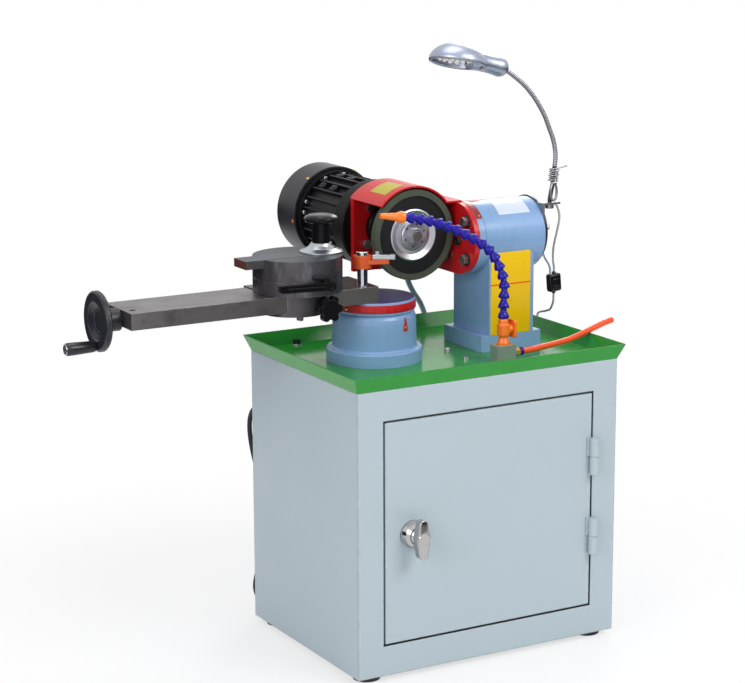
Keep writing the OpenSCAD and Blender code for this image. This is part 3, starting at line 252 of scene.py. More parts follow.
def overlay(look, mask, colour, rough=None, metallic=None):
    """Colour, and if given gloss and metal, where the mask is 1."""
    look.base = look.blend(mask, look.base, srgb(*colour) if isinstance(colour, tuple) else colour)
    look.set(Base_Color=look.base)
    for key, value in (("Roughness", rough), ("Metallic", metallic)):
        if value is None:
            continue
        socket = look.shader.inputs[key]
        old = socket.links[0].from_socket if socket.links else socket.default_value
        made = look.add("ShaderNodeMix", {0: mask, 2: old, 3: value}, data_type="FLOAT")
        look.put(socket, made.outputs[0])


def dress(look, *names):
    for name in names:
        piece = nodes[name] if isinstance(name, str) else name
        piece.data.materials.clear()
        piece.data.materials.append(look.material)


# Mesh helpers


def smooth(points, steps):
    """Curve through the points, with the given steps between two of them."""
    p = [Vector(q) for q in points]
    out = []
    for i in range(len(p) - 1):
        a, b, c, d = p[max(i - 1, 0)], p[i], p[i + 1], p[min(i + 2, len(p) - 1)]
        for j in range(steps):
            u = j / steps
            spot = 2 * b + (c - a) * u
            spot += (2 * a - 5 * b + 4 * c - d) * u * u
            spot += (3 * b - a - 3 * c + d) * u**3
            out.append(0.5 * spot)
    return out + [p[-1]]


def length_of(points):
    return sum((b - a).length for a, b in zip(points, points[1:]))


def moved(points, by):
    return [Vector(p) + Vector(by) for p in points]


def spaced(points, count):
    """Points at even distances along a line, ends included."""
    run = [0.0]
    for a, b in zip(points, points[1:]):
        run.append(run[-1] + (b - a).length)
    out, i = [], 0
    for k in range(count + 1):
        want = run[-1] * k / count
        while i < len(points) - 2 and run[i + 1] < want:
            i += 1
        part = (want - run[i]) / (run[i + 1] - run[i])
        out.append(points[i].lerp(points[i + 1], min(1.0, part)))
    return out


def linked(name, mesh):
    made = bpy.data.objects.new(name, mesh)
    scene.collection.objects.link(made)
    return made


def shade_smooth(mesh, sharp=None):
    """Smooth shading, apart from edges that bend by more than sharp degrees."""
    mesh.polygons.foreach_set("use_smooth", [True] * len(mesh.polygons))
    if sharp:
        mesh.set_sharp_from_angle(angle=math.radians(sharp))


def to_mesh(name, bm):
    mesh = bpy.data.meshes.new(name)
    bm.to_mesh(mesh)
    bm.free()
    return mesh


def mesh_object(name, verts, faces, sharp=None):
    mesh = bpy.data.meshes.new(name)
    mesh.from_pydata([tuple(v) for v in verts], [], faces)
    mesh.update()
    shade_smooth(mesh, sharp)
    return linked(name, mesh)


def ring_faces(rows, cols, looped=False):
    """Faces between rows of points: a tube with closed ends, or one whose last row meets its first."""
    faces = []
    for i in range(rows if looped else rows - 1):
        here, there = i * cols, (i + 1) % rows * cols
        for k in range(cols):
            after = (k + 1) % cols
            faces.append((here + k, here + after, there + after, there + k))
    if not looped:
        faces.append(tuple(range(cols))[::-1])
        faces.append(tuple(range((rows - 1) * cols, rows * cols)))
    return faces


def sweep(name, points, radii, sides, bore=0.0):
    """Tube along points given in millimetres, with one radius or a list of them."""
    n = len(points)
    radii = [radii] * n if isinstance(radii, (int, float)) else radii
    way = [(points[min(i + 1, n - 1)] - points[max(i - 1, 0)]).normalized() for i in range(n)]
    side = Vector((0.1, 0.9, 0.2))
    sides_of = []
    for i in range(n):
        side = (side - way[i] * side.dot(way[i])).normalized()
        sides_of.append((side.copy(), way[i].cross(side)))
    rings = list(enumerate(radii))
    if bore:
        rings += [(i, bore) for i in reversed(range(n))]
    verts = []
    for i, r in rings:
        for k in range(sides):
            a = 2 * math.pi * k / sides
            out = sides_of[i][0] * math.cos(a) + sides_of[i][1] * math.sin(a)
            verts.append((points[i] + out * r) * MM)
    return mesh_object(name, verts, ring_faces(len(rings), sides, looped=bool(bore)))


def lathe(name, profile, place, way=UP, segments=48, sharp=40):
    """Turned piece: profile of (radius, height) in millimetres, standing at place along way."""
    rot = Vector(way).normalized().to_track_quat("Z", "Y").to_matrix()
    verts = []
    for r, h in profile:
        for k in range(segments):
            a = 2 * math.pi * k / segments
            verts.append((Vector(place) + rot @ Vector((r * math.cos(a), r * math.sin(a), h))) * MM)
    return mesh_object(name, verts, ring_faces(len(profile), segments), sharp=sharp)


def block(name, size, place, turn=None, bevel=0.6, segments=2):
    """Box with rounded edges, sizes in millimetres, centred at place."""
    bm = bmesh.new()
    bmesh.ops.create_cube(bm, size=1)
    bmesh.ops.scale(bm, vec=size, verts=bm.verts)
    bmesh.ops.bevel(bm, geom=bm.edges, offset=bevel, segments=segments, affect="EDGES", profile=0.5)
    matrix = Matrix.Translation(place) @ (turn.to_4x4() if turn else Matrix.Identity(4))
    bmesh.ops.transform(bm, matrix=Matrix.Scale(MM, 4) @ matrix, verts=bm.verts)
    mesh = to_mesh(name, bm)
    shade_smooth(mesh, sharp=35)
    return linked(name, mesh)


def joined(name, pieces):
    """One object from several, all of them in place."""
    bm = bmesh.new()
    for piece in pieces:
        bm.from_mesh(piece.data)
        bpy.data.objects.remove(piece)
    return linked(name, to_mesh(name, bm))


def fit(piece, look, body):
    """Gives a new piece its material and the body that carries it."""
    dress(look, piece)
    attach(piece, body)
    return piece


# Leads: the routes of the solids, in millimetres

MAINS_GLAND = (-173, 152, 302)
COIL_CENTRE = Vector((-60, 229.9, 0))
COIL_INSIDE, COIL_PITCH, COIL_TURNS, COIL_STEPS = 28.5, 7.8, 3, 24
MAINS_R = 3.5
COIL_LIFT = 2 * MAINS_R + 0.8


def coil_points():
    """Flat turns inwards on the floor, then outwards in a second layer on top of them."""
    out = []
    for i in range(COIL_STEPS * 2 * COIL_TURNS + 1):
        t = i / COIL_STEPS - COIL_TURNS
        r = COIL_INSIDE + COIL_PITCH * abs(t)
        a = math.radians(270 + 360 / COIL_STEPS * i)
        up = max(0.0, min(1.0, 2 * t + 0.5))
        x = COIL_CENTRE.x + r * math.cos(a)
        y = COIL_CENTRE.y + r * math.sin(a)
        out.append(Vector((x, y, MAINS_R + COIL_LIFT * up)))
    return out


def mains_points():
    drop = [
        (0, 14, 0), (0, 26, 0), (0, 38, 0), (0.5, 52, -3), (1, 64.6, -11), (1.5, 73, -23.4), (2, 76, -38),
        (2.5, 74.5, -54), (3.5, 70, -72), (5, 63, -92), (6, 55, -115), (7, 48, -140), (6, 42, -165),
        (3, 37, -190), (-3.5, 32.5, -214), (-11, 29, -236),
    ]
    floor = [
        (-130, 1, 41), (-128, 0.8, 25.5), (-118.7, 0.6, 11.6), (-105.6, 0.3, 3.3), (-90, 0, 0),
        (-75, 0, 0), (-55, 0, 0), (-37, 0, 0), (-18, 0, 0), (0, 0, 0),
    ]
    coil = coil_points()
    last = coil[-1]
    tail = [(9, 0.3, 0.6), (18, 1, 1.6), (28, 2, 2.8), (38, 3, 3.5), (46, 3, 3.7)]
    free = smooth(moved(drop, MAINS_GLAND) + moved(floor, coil[0]), 4)
    return free + smooth(coil, 2)[1:] + smooth([last] + moved(tail, last), 3)[1:]


BARREL_END = 161.2
LAMP_Y = -22
TAB = Vector((BARREL_END + 16, LAMP_Y, 600))
SWITCH = Vector((BARREL_END + 36, LAMP_Y + 16, 481))
LAMP_GLAND = (204, 75, 340)
lamp_route = (
    moved(
        [
            (9, 3, -3.2), (15, 3, -8), (20, 4, -24), (18, 7, -45), (15, 10, -66), (16.5, 13.5, -84),
            (20, 16, -97),
        ],
        TAB,
    )
    + moved([(0, 0, 17), (0, 0, 0), (0, 0, -20), (0.5, 2, -30), (2, 11, -41), (6, 28, -47)], SWITCH)
    + moved([(14, -12, 82), (16, -5, 68), (15, -1, 50), (13, 0, 30), (12, 0, 14), (12, 0, 4)], LAMP_GLAND)
)
lamp_spur = moved(
    [(-8, 4, -3.3), (-8.7, 5, -12), (-9.7, 8.5, -28), (-8.7, 10, -48), (-5, 12, -66)], TAB
) + moved([(-17, -2, 37), (-9.5, -0.5, 27), (-6.5, 0, 20), (-6.5, 0, 13.3)], SWITCH)
TERMINAL = (44.2, 150, 540)
MOTOR_GLAND = (98, 152, 326)
cable_route = moved(
    [(0, 0, -10), (0, 0, -26), (1, 0, -46), (5, 1, -66), (17, 6, -86), (33, 13, -105)], TERMINAL
) + moved([(-7, 19, 86), (-2, 20, 66), (0, 20, 44), (0, 20, 24), (0, 20, 12)], MOTOR_GLAND)
HOSE_TAIL = (68, -98, 412)
hose_route = moved(
    [
        (12, 0, 0), (17, 0, 0), (24, 0, 0), (34, 1, 0.2), (53, 4, 1), (78, 9, 2), (104, 14, 3.9),
        (129, 18, 8.9), (152, 21.5, 14.3), (169, 24, 18.3), (184, 26, 20.7),
    ],
    HOSE_TAIL,
)


def lead(name, points, radius, node_names, far_end, look, slot, sides=16, bore=0.0, **facts):
    """Cord along points in millimetres, in place of the named solids; the facts given with it are not used.
    """
    piece = sweep(name, points, radius, sides, bore)
    dress(look, piece)
    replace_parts(piece, *node_names)
    return piece


black_rubber = surface(
    "black_rubber", (26, 26, 28), rough=0.55, mottle=0.2, grain=0.25, grain_scale=420, smudge=0.12
)
grey_vinyl = surface(
    "grey_vinyl", (164, 170, 194), rough=0.42, mottle=0.12, grain=0.1, grain_scale=300, smudge=0.1
)
lamp_vinyl = surface(
    "lamp_vinyl", (176, 172, 176), rough=0.4, mottle=0.1, grain=0.1, grain_scale=300, smudge=0.1
)
hose_vinyl = surface(
    "hose_vinyl", (250, 84, 36), rough=0.28, mottle=0.1, grain=0.06, grain_scale=200, coat=0.1,
    specular=0.35,
)
switch_black = surface(
    "switch_black", (17, 17, 19), rough=0.24, mottle=0.1, grain=0.05, grain_scale=300, specular=0.3
)


def switch_body():
    """Rounded inline switch with its rocker and two cord boots."""
    turn = Matrix.Rotation(math.radians(-5), 3, "Y")
    rocker_out = Vector((0, -5.8, 0))
    boot_up = Vector((0, 0, 12.4))
    boot = [(3.6, 0), (3.2, 1), (2.6, 2.4), (2.1, 3.2), (1.8, 3.4)]
    pieces = [
        block("case", (20.5, 11.5, 26), SWITCH, turn, 3.6, 5),
        block("rocker", (8, 2, 12), SWITCH + rocker_out, turn, 0.8, 3),
        lathe("boot", boot, SWITCH + boot_up, UP, 24),
        lathe("boot", boot, SWITCH - boot_up, DOWN, 24),
    ]
    return joined("switch_body", pieces)


switch = fit(switch_body(), switch_black, "stand")
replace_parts(switch, "inline_switch")

LAMP_CORD_R, CABLE_R, HOSE_R, HOSE_BORE = 1.5, 4.0, 4.2, 2.6
mains = lead(
    "mains_lead", mains_points(), MAINS_R, ["mains_cord", "mains_coil"], "plug", black_rubber,
    "black_rubber", stiffness="medium", lay="coiled", with_pieces=[nodes["mains_plug"]],
)
lamp_lead = lead(
    "lamp_lead", smooth(lamp_route, 6), LAMP_CORD_R, ["lamp_cord"], "object", lamp_vinyl, "grey_plastic",
    sides=12, stiffness="limp", lay="hanging", with_pieces=[switch],
)
spur_lead = lead(
    "lamp_spur_lead", smooth(lamp_spur, 6), LAMP_CORD_R, ["lamp_cord"], "object", grey_vinyl,
    "grey_plastic", sides=12, stiffness="limp", lay="hanging",
)
supply = lead(
    "supply_hose", smooth(hose_route, 6), HOSE_R, ["coolant_hose"], "bare", hose_vinyl, "hose_plastic",
    sides=20, bore=HOSE_BORE, stiffness="medium", lay="loose",
)
for piece in (mains, lamp_lead, spur_lead, supply):
    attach(piece, "stand")
motor_lead = lead(
    "motor_lead", smooth(cable_route, 6), CABLE_R, ["motor_cable"], "object", grey_vinyl, "grey_plastic",
    stiffness="medium", lay="hanging",
)
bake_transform(motor_lead)

# Finishes of the solids

# BLUE_EDGE is the lighter blue along edges: part wear, part painted highlight.
BLUE, BLUE_EDGE = (130, 164, 206), (176, 202, 228)

cabinet_paint = surface(
    "cabinet_paint", (178, 192, 199), rough=0.42, mottle=0.025, mottle_scale=6, grain=0.22,
    grain_scale=900, depth=0.0002, smudge=0.06, edge=(214, 222, 226), edge_mask=0.5, bevel=0.003,
)
tray_paint = surface(
    "tray_paint", (46, 146, 54), rough=0.16, mottle=0.1, mottle_scale=12, grain=0.06,
    grain_scale=300, smudge=0.06, edge=(96, 176, 98), edge_mask=0.55, bevel=0.0016, specular=0.28,
)
blue_paint = surface(
    "blue_paint", BLUE, rough=0.27, mottle=0.07, mottle_scale=40, grain=0.3, grain_scale=260,
    smudge=0.1, edge=BLUE_EDGE, bevel=0.0012, coat=0.05, specular=0.4,
)
red_paint = surface(
    "red_paint", (200, 22, 28), rough=0.3, mottle=0.07, mottle_scale=18, grain=0.14,
    grain_scale=420, smudge=0.1, edge=(226, 62, 60), bevel=0.0009, coat=0.1, specular=0.35,
)
motor_paint = surface(
    "motor_paint", (17, 17, 20), rough=0.4, mottle=0.18, mottle_scale=30, grain=0.3,
    grain_scale=520, smudge=0.1, edge=(66, 66, 70), bevel=0.0008, specular=0.2,
)
shield_paint = surface(
    "shield_paint", (13, 13, 15), rough=0.46, mottle=0.2, mottle_scale=30, grain=0.3, grain_scale=520,
    smudge=0.1, edge=(58, 58, 62), bevel=0.001, specular=0.12,
)
cowl_paint = surface(
    "cowl_paint", (39, 38, 43), rough=0.42, mottle=0.12, mottle_scale=30, grain=0.2, grain_scale=520,
    smudge=0.1, edge=(84, 84, 90), bevel=0.001, specular=0.4,
)
ground_steel = surface(
    "ground_steel", (150, 150, 152), rough=0.34, metallic=1.0, mottle=0.12, grain=0.25,
    grain_scale=60, stretch=(1.5, 60, 60), smudge=0.1, edge=(205, 205, 206), bevel=0.0006,
)
bar_steel = surface(
    "bar_steel", (114, 111, 111), rough=0.34, metallic=0.85, mottle=0.24, mottle_scale=14,
    grain=0.3, grain_scale=45, stretch=(2, 70, 70), smudge=0.12, edge=(190, 188, 186),
)
slide_steel = surface(
    "slide_steel", (104, 102, 103), rough=0.38, metallic=0.85, mottle=0.16, mottle_scale=14,
    grain=0.3, grain_scale=45, stretch=(2, 70, 70), smudge=0.12, edge=(180, 178, 178),
)
cast_steel = surface(
    "cast_steel", (82, 80, 85), rough=0.36, metallic=0.8, mottle=0.26, mottle_scale=16,
    grain=0.25, grain_scale=300, smudge=0.14, edge=(170, 168, 168), bevel=0.0008,
)
shaft_steel = surface(
    "shaft_steel", (150, 138, 131), rough=0.34, metallic=0.9, mottle=0.16, edge=(180, 170, 164)
)
bright_steel = surface(
    "bright_steel", (200, 201, 204), rough=0.22, metallic=1.0, mottle=0.1, grain=0.08, smudge=0.06
)
wire_steel = surface(
    "wire_steel", (150, 151, 158), rough=0.24, metallic=1.0, mottle=0.1, grain=0.08, smudge=0.06
)
lock_chrome = surface(
    "lock_chrome", (186, 184, 184), rough=0.09, metallic=1.0, mottle=0.05, grain=0.03, grain_scale=120,
    smudge=0.03, bevel=0.0012,
)
lamp_chrome = surface(
    "lamp_chrome", (160, 167, 184), rough=0.38, metallic=1.0, mottle=0.03, grain=0.02, grain_scale=120,
    smudge=0.03, bevel=0.0006,
)
neck_chrome = surface(
    "neck_chrome", (146, 147, 154), rough=0.18, metallic=1.0, mottle=0.08, grain=0.05, smudge=0.04
)
satin_chrome = surface(
    "satin_chrome", (176, 181, 187), rough=0.34, metallic=1.0, mottle=0.1, mottle_scale=50, grain=0.06,
    smudge=0.06, bevel=0.0008,
)
chrome = surface(
    "chrome", (200, 203, 210), rough=0.07, metallic=1.0, mottle=0.03, grain=0.03,
    grain_scale=120, smudge=0.03, bevel=0.0006,
)
finger_chrome = surface(
    "finger_chrome", (188, 190, 194), rough=0.12, metallic=1.0, mottle=0.05, grain=0.03, smudge=0.04,
    bevel=0.0024,
)
brass = surface("brass", (196, 156, 86), rough=0.24, metallic=1.0, mottle=0.12, grain=0.08)
knob_black = surface(
    "knob_black", (17, 17, 19), rough=0.22, mottle=0.1, grain=0.05, grain_scale=300, smudge=0.06,
    edge=(52, 52, 56), bevel=0.0012, specular=0.14,
)
wheel_black = surface(
    "wheel_black", (32, 33, 40), rough=0.3, mottle=0.12, grain=0.06, grain_scale=300,
    edge=(112, 113, 122), edge_mask=0.45, bevel=0.0014, specular=0.4,
)
black_gloss = surface(
    "black_gloss", (20, 20, 22), rough=0.3, mottle=0.15, grain=0.08, grain_scale=380, smudge=0.1,
    edge=(60, 60, 64), bevel=0.001, coat=0.1, specular=0.4,
)
orange_plastic = surface(
    "orange_plastic", (252, 120, 18), rough=0.3, mottle=0.07, grain=0.08, grain_scale=300, coat=0.25
)
orange_paint = surface(
    "orange_paint", (206, 82, 32), rough=0.34, mottle=0.1, grain_scale=300, edge=(240, 140, 90),
    specular=0.4,
)
blue_plastic = surface(
    "blue_plastic", (30, 18, 146), rough=0.24, mottle=0.1, grain=0.06, grain_scale=260, specular=0.25
)
led_white = surface("led_white", (244, 244, 240), rough=0.2, mottle=0.02, grain=0.02, coat=0.3)
white_lens = surface(
    "white_lens", (236, 236, 232), rough=0.25, mottle=0.03, grain=0.05, grain_scale=260, coat=0.3
)
winding = surface("winding", (150, 84, 52), rough=0.45, metallic=0.6, grain=0.4, grain_scale=900)
dark_hole = surface("dark_hole", (24, 22, 22), rough=0.6, mottle=0.1, grain=0.1)
dark_red = surface("dark_red", (138, 14, 20), rough=0.32, mottle=0.1, grain=0.08, coat=0.3)
white_plate = surface("white_plate", (208, 218, 236), rough=0.28, mottle=0.02, grain=0.04, coat=0.3)
yellow_plate = surface(
    "yellow_plate", (248, 198, 10), rough=0.34, mottle=0.04, grain=0.05, coat=0.05, specular=0.35
)
olive_plate = surface("olive_plate", (186, 172, 56), rough=0.36, grain=0.05, specular=0.35)

dress(cabinet_paint, "cabinet_wrap", "cabinet_decks", "front_frame")
dress(cabinet_paint, "door_panel", "hinge_posts", "hinge_barrels")
dress(black_rubber, "feet", "mains_plug")
dress(tray_paint, "drip_tray")
dress(motor_paint, "motor_body")
dress(shield_paint, "end_shields")
dress(cowl_paint, "fan_cowl")
dress(ground_steel, "lead_screw", "motor_bearings", "lamp_bracket")
dress(shaft_steel, "rotor_shaft")
dress(lock_chrome, "lock_escutcheon", "lock_handle")
dress(satin_chrome, "centre_cone")
dress(chrome, "stop_post")
dress(finger_chrome, "stop_finger")
dress(knob_black, "clamp_knob", "clamp_lever", "gib_knob")
dress(blue_paint, "swivel_base", "column", "head_collar")
dress(bar_steel, "arm_bar")
dress(cast_steel, "carriage", "seat_disc")
dress(slide_steel, "cone_slide")
dress(wheel_black, "handwheel")
dress(black_gloss, "fan", "cable_glands")
dress(brass, "screw_nut")
dress(orange_plastic, "valve_body", "valve_lever", "jet_nozzle")
dress(orange_paint, "stop_arm")
dress(red_paint, "head_bracket", "wheel_guard")
dress(winding, "stator")
dress(white_lens, "lamp_lens")

# Marks, wear and painted sheen that follow a place on the solid

# Axes of the swivel base and of the grinding wheel, in millimetres
BASE_X, BASE_Y = -85, 13
WHEEL_X, WHEEL_Z = -21.8, 565
# The same axes and the limits of the marks, in metres
BASE_CENTRE = (BASE_X * MM, BASE_Y * MM, 0)
AXLE = (WHEEL_X * MM, 0, WHEEL_Z * MM)
TURNTABLE_TOP, BAND_R = 0.4865, 0.0563
SHORT_TICK_TOP, LONG_TICK_TOP = 0.4762, 0.4795
STONE_RIM_R = 0.0538
HUB_BACK_Y = 0.03
BOLT_HEAD = 0.0059
BRASS_FROM_X = 0.0682
WASHER_FROM_X, WASHER_TO_X = 0.0443, 0.0466
SEAT_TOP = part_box("seat_disc")[1][2] - 0.0003
SLIDE_TAB_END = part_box("cone_slide")[0][0] + 0.0006
PIN_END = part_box("handwheel")[0][0] + 0.0008


def beyond(look, axis, limit):
    return look.math("GREATER_THAN", look.place(axis), limit)


def before(look, axis, limit):
    return look.math("LESS_THAN", look.place(axis), limit)


for look, dark in ((bar_steel, (58, 54, 53)), (cast_steel, (56, 55, 60))):
    blotch = look.fade(look.noise(34.0, 6.0, look.stretched((1, 1.6, 1.6))), 0.5, 0.74, 0.0, 0.5)
    overlay(look, blotch, dark)
# Light upright streaks on the cast steel: part brushing marks, part painted sheen.
streaks_and_sheen = cast_steel.noise(60.0, 5.0, cast_steel.stretched((1, 1, 0.3)))
overlay(cast_steel, cast_steel.fade(streaks_and_sheen, 0.52, 0.76, 0.0, 0.55), (150, 147, 152))
# Darker, bluer tops of the disc and the slide: their bluish sheen painted into the colour.
overlay(cast_steel, beyond(cast_steel, "Z", SEAT_TOP), (62, 66, 72), rough=0.46)
overlay(slide_steel, beyond(slide_steel, "Z", SEAT_TOP), (70, 75, 81), rough=0.45)
overlay(slide_steel, before(slide_steel, "X", SLIDE_TAB_END), (104, 58, 50), metallic=0.3)
overlay(wheel_black, before(wheel_black, "X", PIN_END), (186, 187, 190), rough=0.25, metallic=1.0)


def turntable_finish():
    """Painted turntable with a bare top that carries the painted reflection and shade of the bar above, and
    a red band that carries a scale.
    """
    look = surface(
        "turntable_look", BLUE, rough=0.34, mottle=0.07, mottle_scale=40, grain=0.25, grain_scale=260,
        smudge=0.1, edge=BLUE_EDGE, bevel=0.001, coat=0.05, specular=0.4,
    )
    height = look.place("Z")
    on_top = look.math("GREATER_THAN", height, TURNTABLE_TOP)
    # Dark bluish top: bare steel, with the reflection and shade of the bar above painted into its colour.
    overlay(look, on_top, (82, 86, 124), rough=0.36, metallic=0.3)
    band = look.math("GREATER_THAN", look.radius(BASE_CENTRE, "z"), BAND_R)
    overlay(look, band, (196, 20, 26))
    away = look.add("ShaderNodeVectorMath", {0: look.object, 1: BASE_CENTRE}, operation="SUBTRACT")
    flat = look.add("ShaderNodeSeparateXYZ", {0: away.outputs[0]})
    turn = look.math("ARCTAN2", flat.outputs[1], flat.outputs[0])
    # Spacing and width of the lines in degrees, how far up they reach, and their colour
    short_lines = (2, 0.5, SHORT_TICK_TOP, (70, 10, 12))
    long_lines = (10, 0.7, LONG_TICK_TOP, (60, 8, 10))
    for step, wide, top, colour in (short_lines, long_lines):
        part = look.math("FRACT", look.math("MULTIPLY", turn, 180 / math.pi / step))
        line = look.math("LESS_THAN", part, wide / step)
        low = look.math("LESS_THAN", height, top)
        overlay(look, look.math("MULTIPLY", look.math("MULTIPLY", line, low), band), colour)
    return look


def stone_finish():
    """Dark wheel body with a gritty abrasive rim."""
    look = surface(
        "stone", (22, 22, 24), rough=0.5, mottle=0.15, grain=0.2, grain_scale=500, specular=0.25
    )
    rim = look.math("GREATER_THAN", look.radius(AXLE, "y"), STONE_RIM_R)
    grit = look.noise(1400.0, 2.0)
    overlay(look, rim, look.blend(grit, srgb(50, 55, 45), srgb(92, 97, 82)), rough=0.75)
    look.set(Normal=look.bump(grit, 0.35, 0.0004, look.normal))
    return look


def hub_finish():
    """Turned aluminium: its gloss is drawn out round the axle."""
    look = surface(
        "hub", (184, 184, 192), rough=0.3, metallic=0.9, mottle=0.05, grain=0.05, smudge=0.04,
        bevel=0.0006,
    )
    round_axle = look.add("ShaderNodeTangent", direction_type="RADIAL", axis="Y").outputs[0]
    look.set(Anisotropic=0.7, Tangent=round_axle)
    lines = look.rings(AXLE, "y", 2600.0)
    look.set(Normal=look.bump(lines, 0.18, 0.0003, look.normal))
    overlay(look, beyond(look, "Y", HUB_BACK_Y), (120, 118, 116))
    return look


def tray_fastener_finish():
    """Bright screws and one black bolt."""
    look = surface(
        "fasteners", (190, 191, 194), rough=0.26, metallic=1.0, mottle=0.12, grain=0.1,
        edge=(225, 225, 228),
    )
    tall = beyond(look, "Z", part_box("tray_fasteners")[1][2] - BOLT_HEAD)
    bolt = look.math("MULTIPLY", tall, before(look, "X", 0.0))
    overlay(look, bolt, (30, 30, 32), rough=0.4, metallic=0.3)
    return look


def manifold_finish():
    """Grey metal block with a brass tail."""
    look = surface(
        "manifold", (158, 163, 160), rough=0.34, metallic=0.45, mottle=0.14, mottle_scale=30,
        grain=0.25, grain_scale=300, edge=(205, 208, 206),
    )
    overlay(look, beyond(look, "X", BRASS_FROM_X), (196, 160, 92), rough=0.25)
    return look


def head_bolt_finish():
    """Steel bolts on black washers."""
    look = surface(
        "bolts", (176, 176, 178), rough=0.3, metallic=1.0, mottle=0.14, grain=0.1,
        edge=(220, 220, 222),
    )
    washer = look.between(look.place("X"), WASHER_FROM_X, WASHER_TO_X)
    overlay(look, washer, (24, 24, 26), rough=0.5, metallic=0.0)
    return look


hub = hub_finish()
dress(turntable_finish(), "turntable")
dress(stone_finish(), "grinding_wheel")
dress(hub, "wheel_hub")
dress(tray_fastener_finish(), "tray_fasteners")
dress(manifold_finish(), "coolant_manifold")
dress(head_bolt_finish(), "head_bolts")

# Jet hose, gooseneck, tie wire and lamp head in their full form, in millimetres

JET_FROM, JET_COUNT = (53, -98, 460.8), 17
jet_route = moved(
    [
        (0, 0, 0), (0, 0, 6), (0, 0, 12.5), (2.5, 3.5, 25), (6, 7, 38), (7, 11, 51), (4, 14, 64),
        (-1, 17, 77), (-7, 20, 88), (-16, 23, 97), (-27, 26, 105), (-39, 29, 112), (-51, 32, 119),
        (-64, 35, 125), (-78, 38, 130.5), (-92, 41, 135), (-106, 44, 138.5), (-118, 46, 141),
        (-128, 47.2, 142.3),
    ],
    JET_FROM,
)


def jet_modules():
    """Snap-together hose: each piece has a wide socket and a waist that enters the next socket."""
    stops = spaced(smooth(jet_route, 8), JET_COUNT)
    pieces = []
    for k, (a, b) in enumerate(zip(stops, stops[1:])):
        size = (b - a).length
        bell = [
            (3.2, 1.2), (5.6, 0.5), (7.0, 0.4), (7.6, 1.0), (7.7, 2.4), (7.4, 0.28 * size),
            (6.8, 0.42 * size), (5.8, 0.56 * size), (4.8, 0.69 * size), (4.3, 0.82 * size),
        ]
        ball = [(4.2, size + 0.6), (5.2, size + 1.8), (3.2, size + 2.2)]
        stub = [(4.6, size - 0.2), (3.2, size - 0.1)]
        end = stub if k == JET_COUNT - 1 else ball
        pieces.append(lathe("jet_module", bell + end, a, b - a, 28, 50))
    return joined("jet_modules", pieces)


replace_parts(fit(jet_modules(), blue_plastic, "jet"), "jet_hose")

neck_route = moved(
    [
        (0, 0, 0), (2, 0, 12), (5, 0, 26), (8, 0, 50), (9, 0, 62), (8, 0, 74), (4, 0, 89), (-2, 0, 103),
        (-9, 0, 119), (-18, 0, 134), (-29, 0, 149), (-43, 0, 164), (-58, 0, 176), (-72, 0, 185.5),
    ],
    TAB,
)
NECK_END = neck_route[-1]
NECK_WAY = Vector((-0.8275, 0, 0.5615))
NECK_IN_LAMP = 13.5
RIB_PITCH, RIB_RADII = 2.4, (3.3, 3.2, 2.75, 3.2)
SLEEVE_LENGTH = 50


def gooseneck_ribs():
    """Ribbed neck that ends inside the lamp's round end."""
    line = smooth(neck_route + [NECK_END + NECK_WAY * NECK_IN_LAMP], 10)
    steps = len(RIB_RADII)
    count = steps * int(length_of(line) / RIB_PITCH)
    radii = [RIB_RADII[i % steps] for i in range(count + 1)]
    return sweep("gooseneck_ribs", spaced(line, count), radii, 16)


sleeve = before(neck_chrome, "Z", (TAB.z + SLEEVE_LENGTH) * MM)
overlay(neck_chrome, sleeve, (34, 34, 38), rough=0.35, metallic=0.2)
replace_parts(fit(gooseneck_ribs(), neck_chrome, "stand"), "gooseneck")

WIRE_R, TIE_TURNS, TIE_STEPS = 1.1, 6, 36
TIE_PITCH, TIE_R = 2 * WIRE_R + 0.9, RIB_RADII[0] + WIRE_R + 0.4
TIE_LOOSE, TIE_UNEVEN, TIE_SLANT = 1.1, 0.6, 1.3
LOOP_FROM_TAB, LOOP_WIDE, LOOP_TALL, LOOP_TURN = Vector((1.5, -5.6, 15)), 5.2, 13, 4.2 * math.pi


def tie_points():
    """Loose, uneven turns round the neck, with a short end on either side."""
    way = Vector((3, 0, 24)).normalized()
    across = Vector(BACK)
    side = across.cross(way).normalized()
    start = neck_route[2] + way * 2.5
    helix = []
    for i in range(TIE_STEPS * TIE_TURNS + 1):
        a = math.radians(360 / TIE_STEPS * i - 90)
        r = TIE_R + (TIE_LOOSE + TIE_UNEVEN * math.sin(0.075 * i))
        ring = (side * math.cos(a) + across * math.sin(a)) * r + way * (TIE_SLANT * math.cos(a))
        helix.append(start + way * (TIE_PITCH * i / TIE_STEPS) + ring)
    tail = [helix[0] - side * (2.2 * k) - way * (0.9 * k) for k in (3, 2, 1)]
    end = [helix[-1] + side * (2.4 * k) + way * (0.8 * k) - across * (0.5 * k) for k in range(1, 7)]
    return tail + helix + end


def loop_points():
    """A long loop of the same wire, hanging in front of the neck."""
    middle = TAB + LOOP_FROM_TAB
    turns = np.linspace(0, LOOP_TURN, 76)
    return [middle + Vector((LOOP_WIDE * math.sin(a), -0.35 * a, LOOP_TALL * math.cos(a))) for a in turns]


tie_turns = fit(sweep("tie_turns", tie_points(), WIRE_R, 10), wire_steel, "stand")
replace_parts(tie_turns, "tie_wire")
fit(sweep("tie_loop", loop_points(), WIRE_R, 10), wire_steel, "stand")

DOME = NECK_END + Vector((-80.5, 0, 12))
BULB = NECK_END + NECK_WAY * 17 - Vector((0, 0, 3))
BULB_R = 14
TIP, LEAN, LENS_IN = math.radians(14.8), math.radians(8.7), 9.0
DOME_UP = Vector((math.cos(LEAN) * math.sin(TIP), math.sin(LEAN), math.cos(LEAN) * math.cos(TIP)))
SKIN_VOXEL, SKIN_EASE, SKIN_PASSES = 1.1, 0.6, 40


